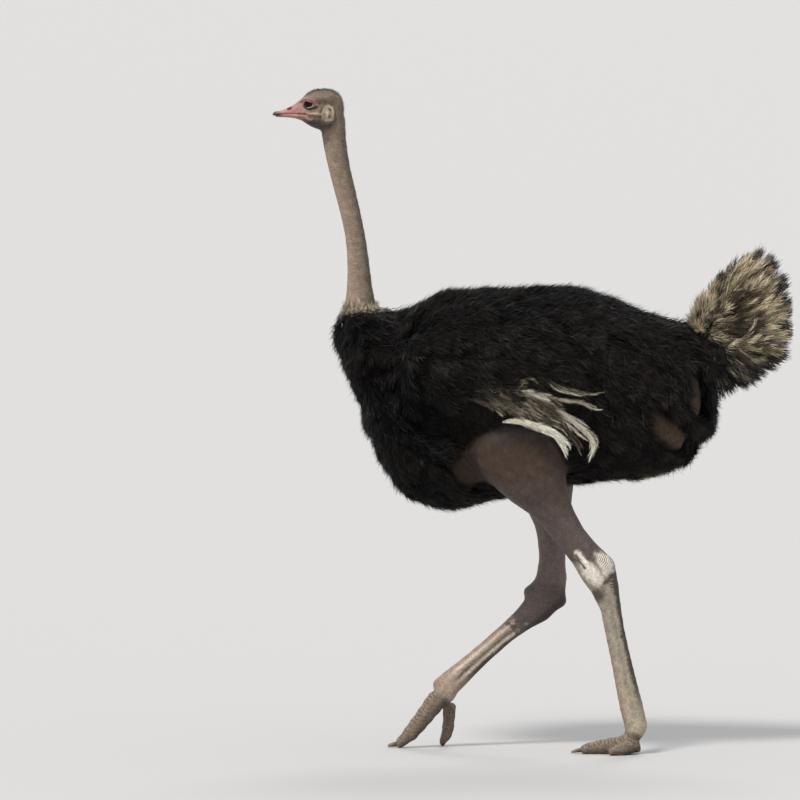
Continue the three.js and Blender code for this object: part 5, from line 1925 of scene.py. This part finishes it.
# %% Collar
COLLAR_LOOK = dict(
    pairs=7, bare=0.0, barb=9 * MM, width=0.65 * MM, open=0.6, close=0.3,
    tuft=0.9, bend=0.5, curl=0.0, ruffle=0.4, shaft=0.5 * MM, streak=0.1,
)
COLLAR_TOP = 50 * MM
COLLAR_SPACING = 3.7 * MM
COLLAR_LOW = -34 * MM
collar_height = outline_surface[:, 2] - NECK_LOW
collar = (1 - ramp(collar_height, 18 * MM, COLLAR_TOP)) * ramp(collar_height, COLLAR_LOW, COLLAR_LOW + 8 * MM)
collar *= 1 - ramp(from_neck, 10 * MM, 22 * MM)
faces, weights = scatter(draw, collar, COLLAR_SPACING)
length = draw.uniform(12 * MM, 24 * MM, len(faces))
flow = np.tile((0.0, 0.0, -1.0), (len(faces), 1))
root, tip, normal = stand(draw, faces, weights, length, 0.40, flow)
through = (root + tip) / 2 + normal * length[:, None] * 0.12
face = unit(normal + draw.normal(0, 0.6, normal.shape))
height_of_root = root[:, 2:3] - NECK_LOW


def collar_tint(points, along, outness, tone):
    pale = paint(DOWN_PALE, DOWN_TAN, ramp(tone, 0.3, 0.7))
    dark = 1 - ramp(height_of_root + 14 * MM * (tone - 0.5), -10 * MM, 8 * MM)
    pale = paint(pale, DOWN_BROWN, ramp(tone, 0.72, 0.9))
    return paint(pale, BLACK, dark)


plume_piece(
    "down_collar", draw, root, through, tip, face, unwrap_upright(root, NECK_LOW - 0.04, NECK_TOP), COLLAR_LOOK,
    collar_tint, soft_down,
)

# %% Crown and nape
CROWN_SPACING = 1.2 * MM
HEAD_LOW, HEAD_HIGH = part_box("head")
head_ground = ground_share["head"] * ramp(outline_surface[:, 2], EYE[2] - 0.005, EYE[2] + 0.025)
head_ground *= ramp(outline_surface[:, 0], EYE[0] - 0.02, EYE[0] + 0.01)
back_of_head = ground_share["head"] * ramp(outline_surface[:, 0], EAR[0] + 0.005, EAR[0] + 0.03)
head_ground = np.maximum(head_ground, back_of_head)
faces, weights = scatter(draw, head_ground, CROWN_SPACING)
start = at_roots(outline_surface, faces, weights)
on_crest = 1 - ramp(np.abs(start[:, 1]), 8 * MM, 30 * MM)
on_crest *= ramp(start[:, 0], EYE[0] - 30 * MM, EYE[0] + 25 * MM)
on_crest *= ramp(start[:, 2], EYE[2] - 75 * MM, EYE[2] + 15 * MM)
length = draw.uniform(2.5 * MM, 5 * MM, len(faces)) + 11 * MM * on_crest * draw.random(len(faces)) ** 0.7
flow = np.tile((0.9, 0.0, -0.3), (len(faces), 1)) + draw.normal(0, 0.3, (len(faces), 3))
root, tip, normal = stand(draw, faces, weights, length, 0.95, flow)
tone = draw.random(len(faces))
tints = paint(CROWN_PALE, CROWN_SHADE, ramp(tone, 0.45, 0.75))
on_ridge = (1 - ramp(np.abs(start[:, 1]), 6 * MM, 19 * MM)) * on_crest
tints = paint(tints, CREST_OLIVE, on_ridge * 0.95)
hair_piece(
    "bristles_crown", draw, root, tip, normal * 0.6 * MM, draw.uniform(0.45 * MM, 0.75 * MM, len(root)),
    unwrap(root, HEAD_LOW, HEAD_HIGH), tints, soft_down,
)

# %% Lashes
LASHES = 40
for name, side in SIDES.items():
    t = np.linspace(-1, 1, LASHES)
    dx = t * LID_LONG * 0.92
    dz = np.minimum(LID_HIGH * np.sqrt(1 - 0.8 * t**2), LID_TOP - LID_SLOPE * dx) + 0.4 * MM
    lid_radius = EYE_RADIUS + LID
    dy = side * np.sqrt(lid_radius**2 - dx**2 - dz**2)
    root = EYE + (0, side * EYE_OUT, 0) + np.column_stack((dx, dy - side * MM, dz))
    reach_away = np.column_stack((t * 3.0, np.full(LASHES, side * 6.5), -1.2 + 0.8 * np.abs(t))) * MM
    tip = root + reach_away * draw.uniform(0.7, 1.2, (LASHES, 1)) + draw.normal(0, 0.5 * MM, (LASHES, 3))
    hair_piece(
        f"lashes_{name}", draw, root, tip, np.tile((0, 0, -0.7 * MM), (LASHES, 1)), np.full(LASHES, 0.5 * MM),
        unwrap(root, HEAD_LOW, HEAD_HIGH), np.tile(LASH_BLACK, (LASHES, 1)), soft_down,
    )

# %% [markdown]
# ## Size
#
# The feathers may stand a few millimetres proud of the CAD outline and no more. Both boxes are written down, so
# that they can be compared after every change.

# %% Write the sizes and finish
low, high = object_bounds()
for label, before, after in zip("xyz", zip(cad_low, cad_high), zip(low, high)):
    print(label, "CAD", [round(v, 3) for v in before], "visual", [round(v, 3) for v in after])
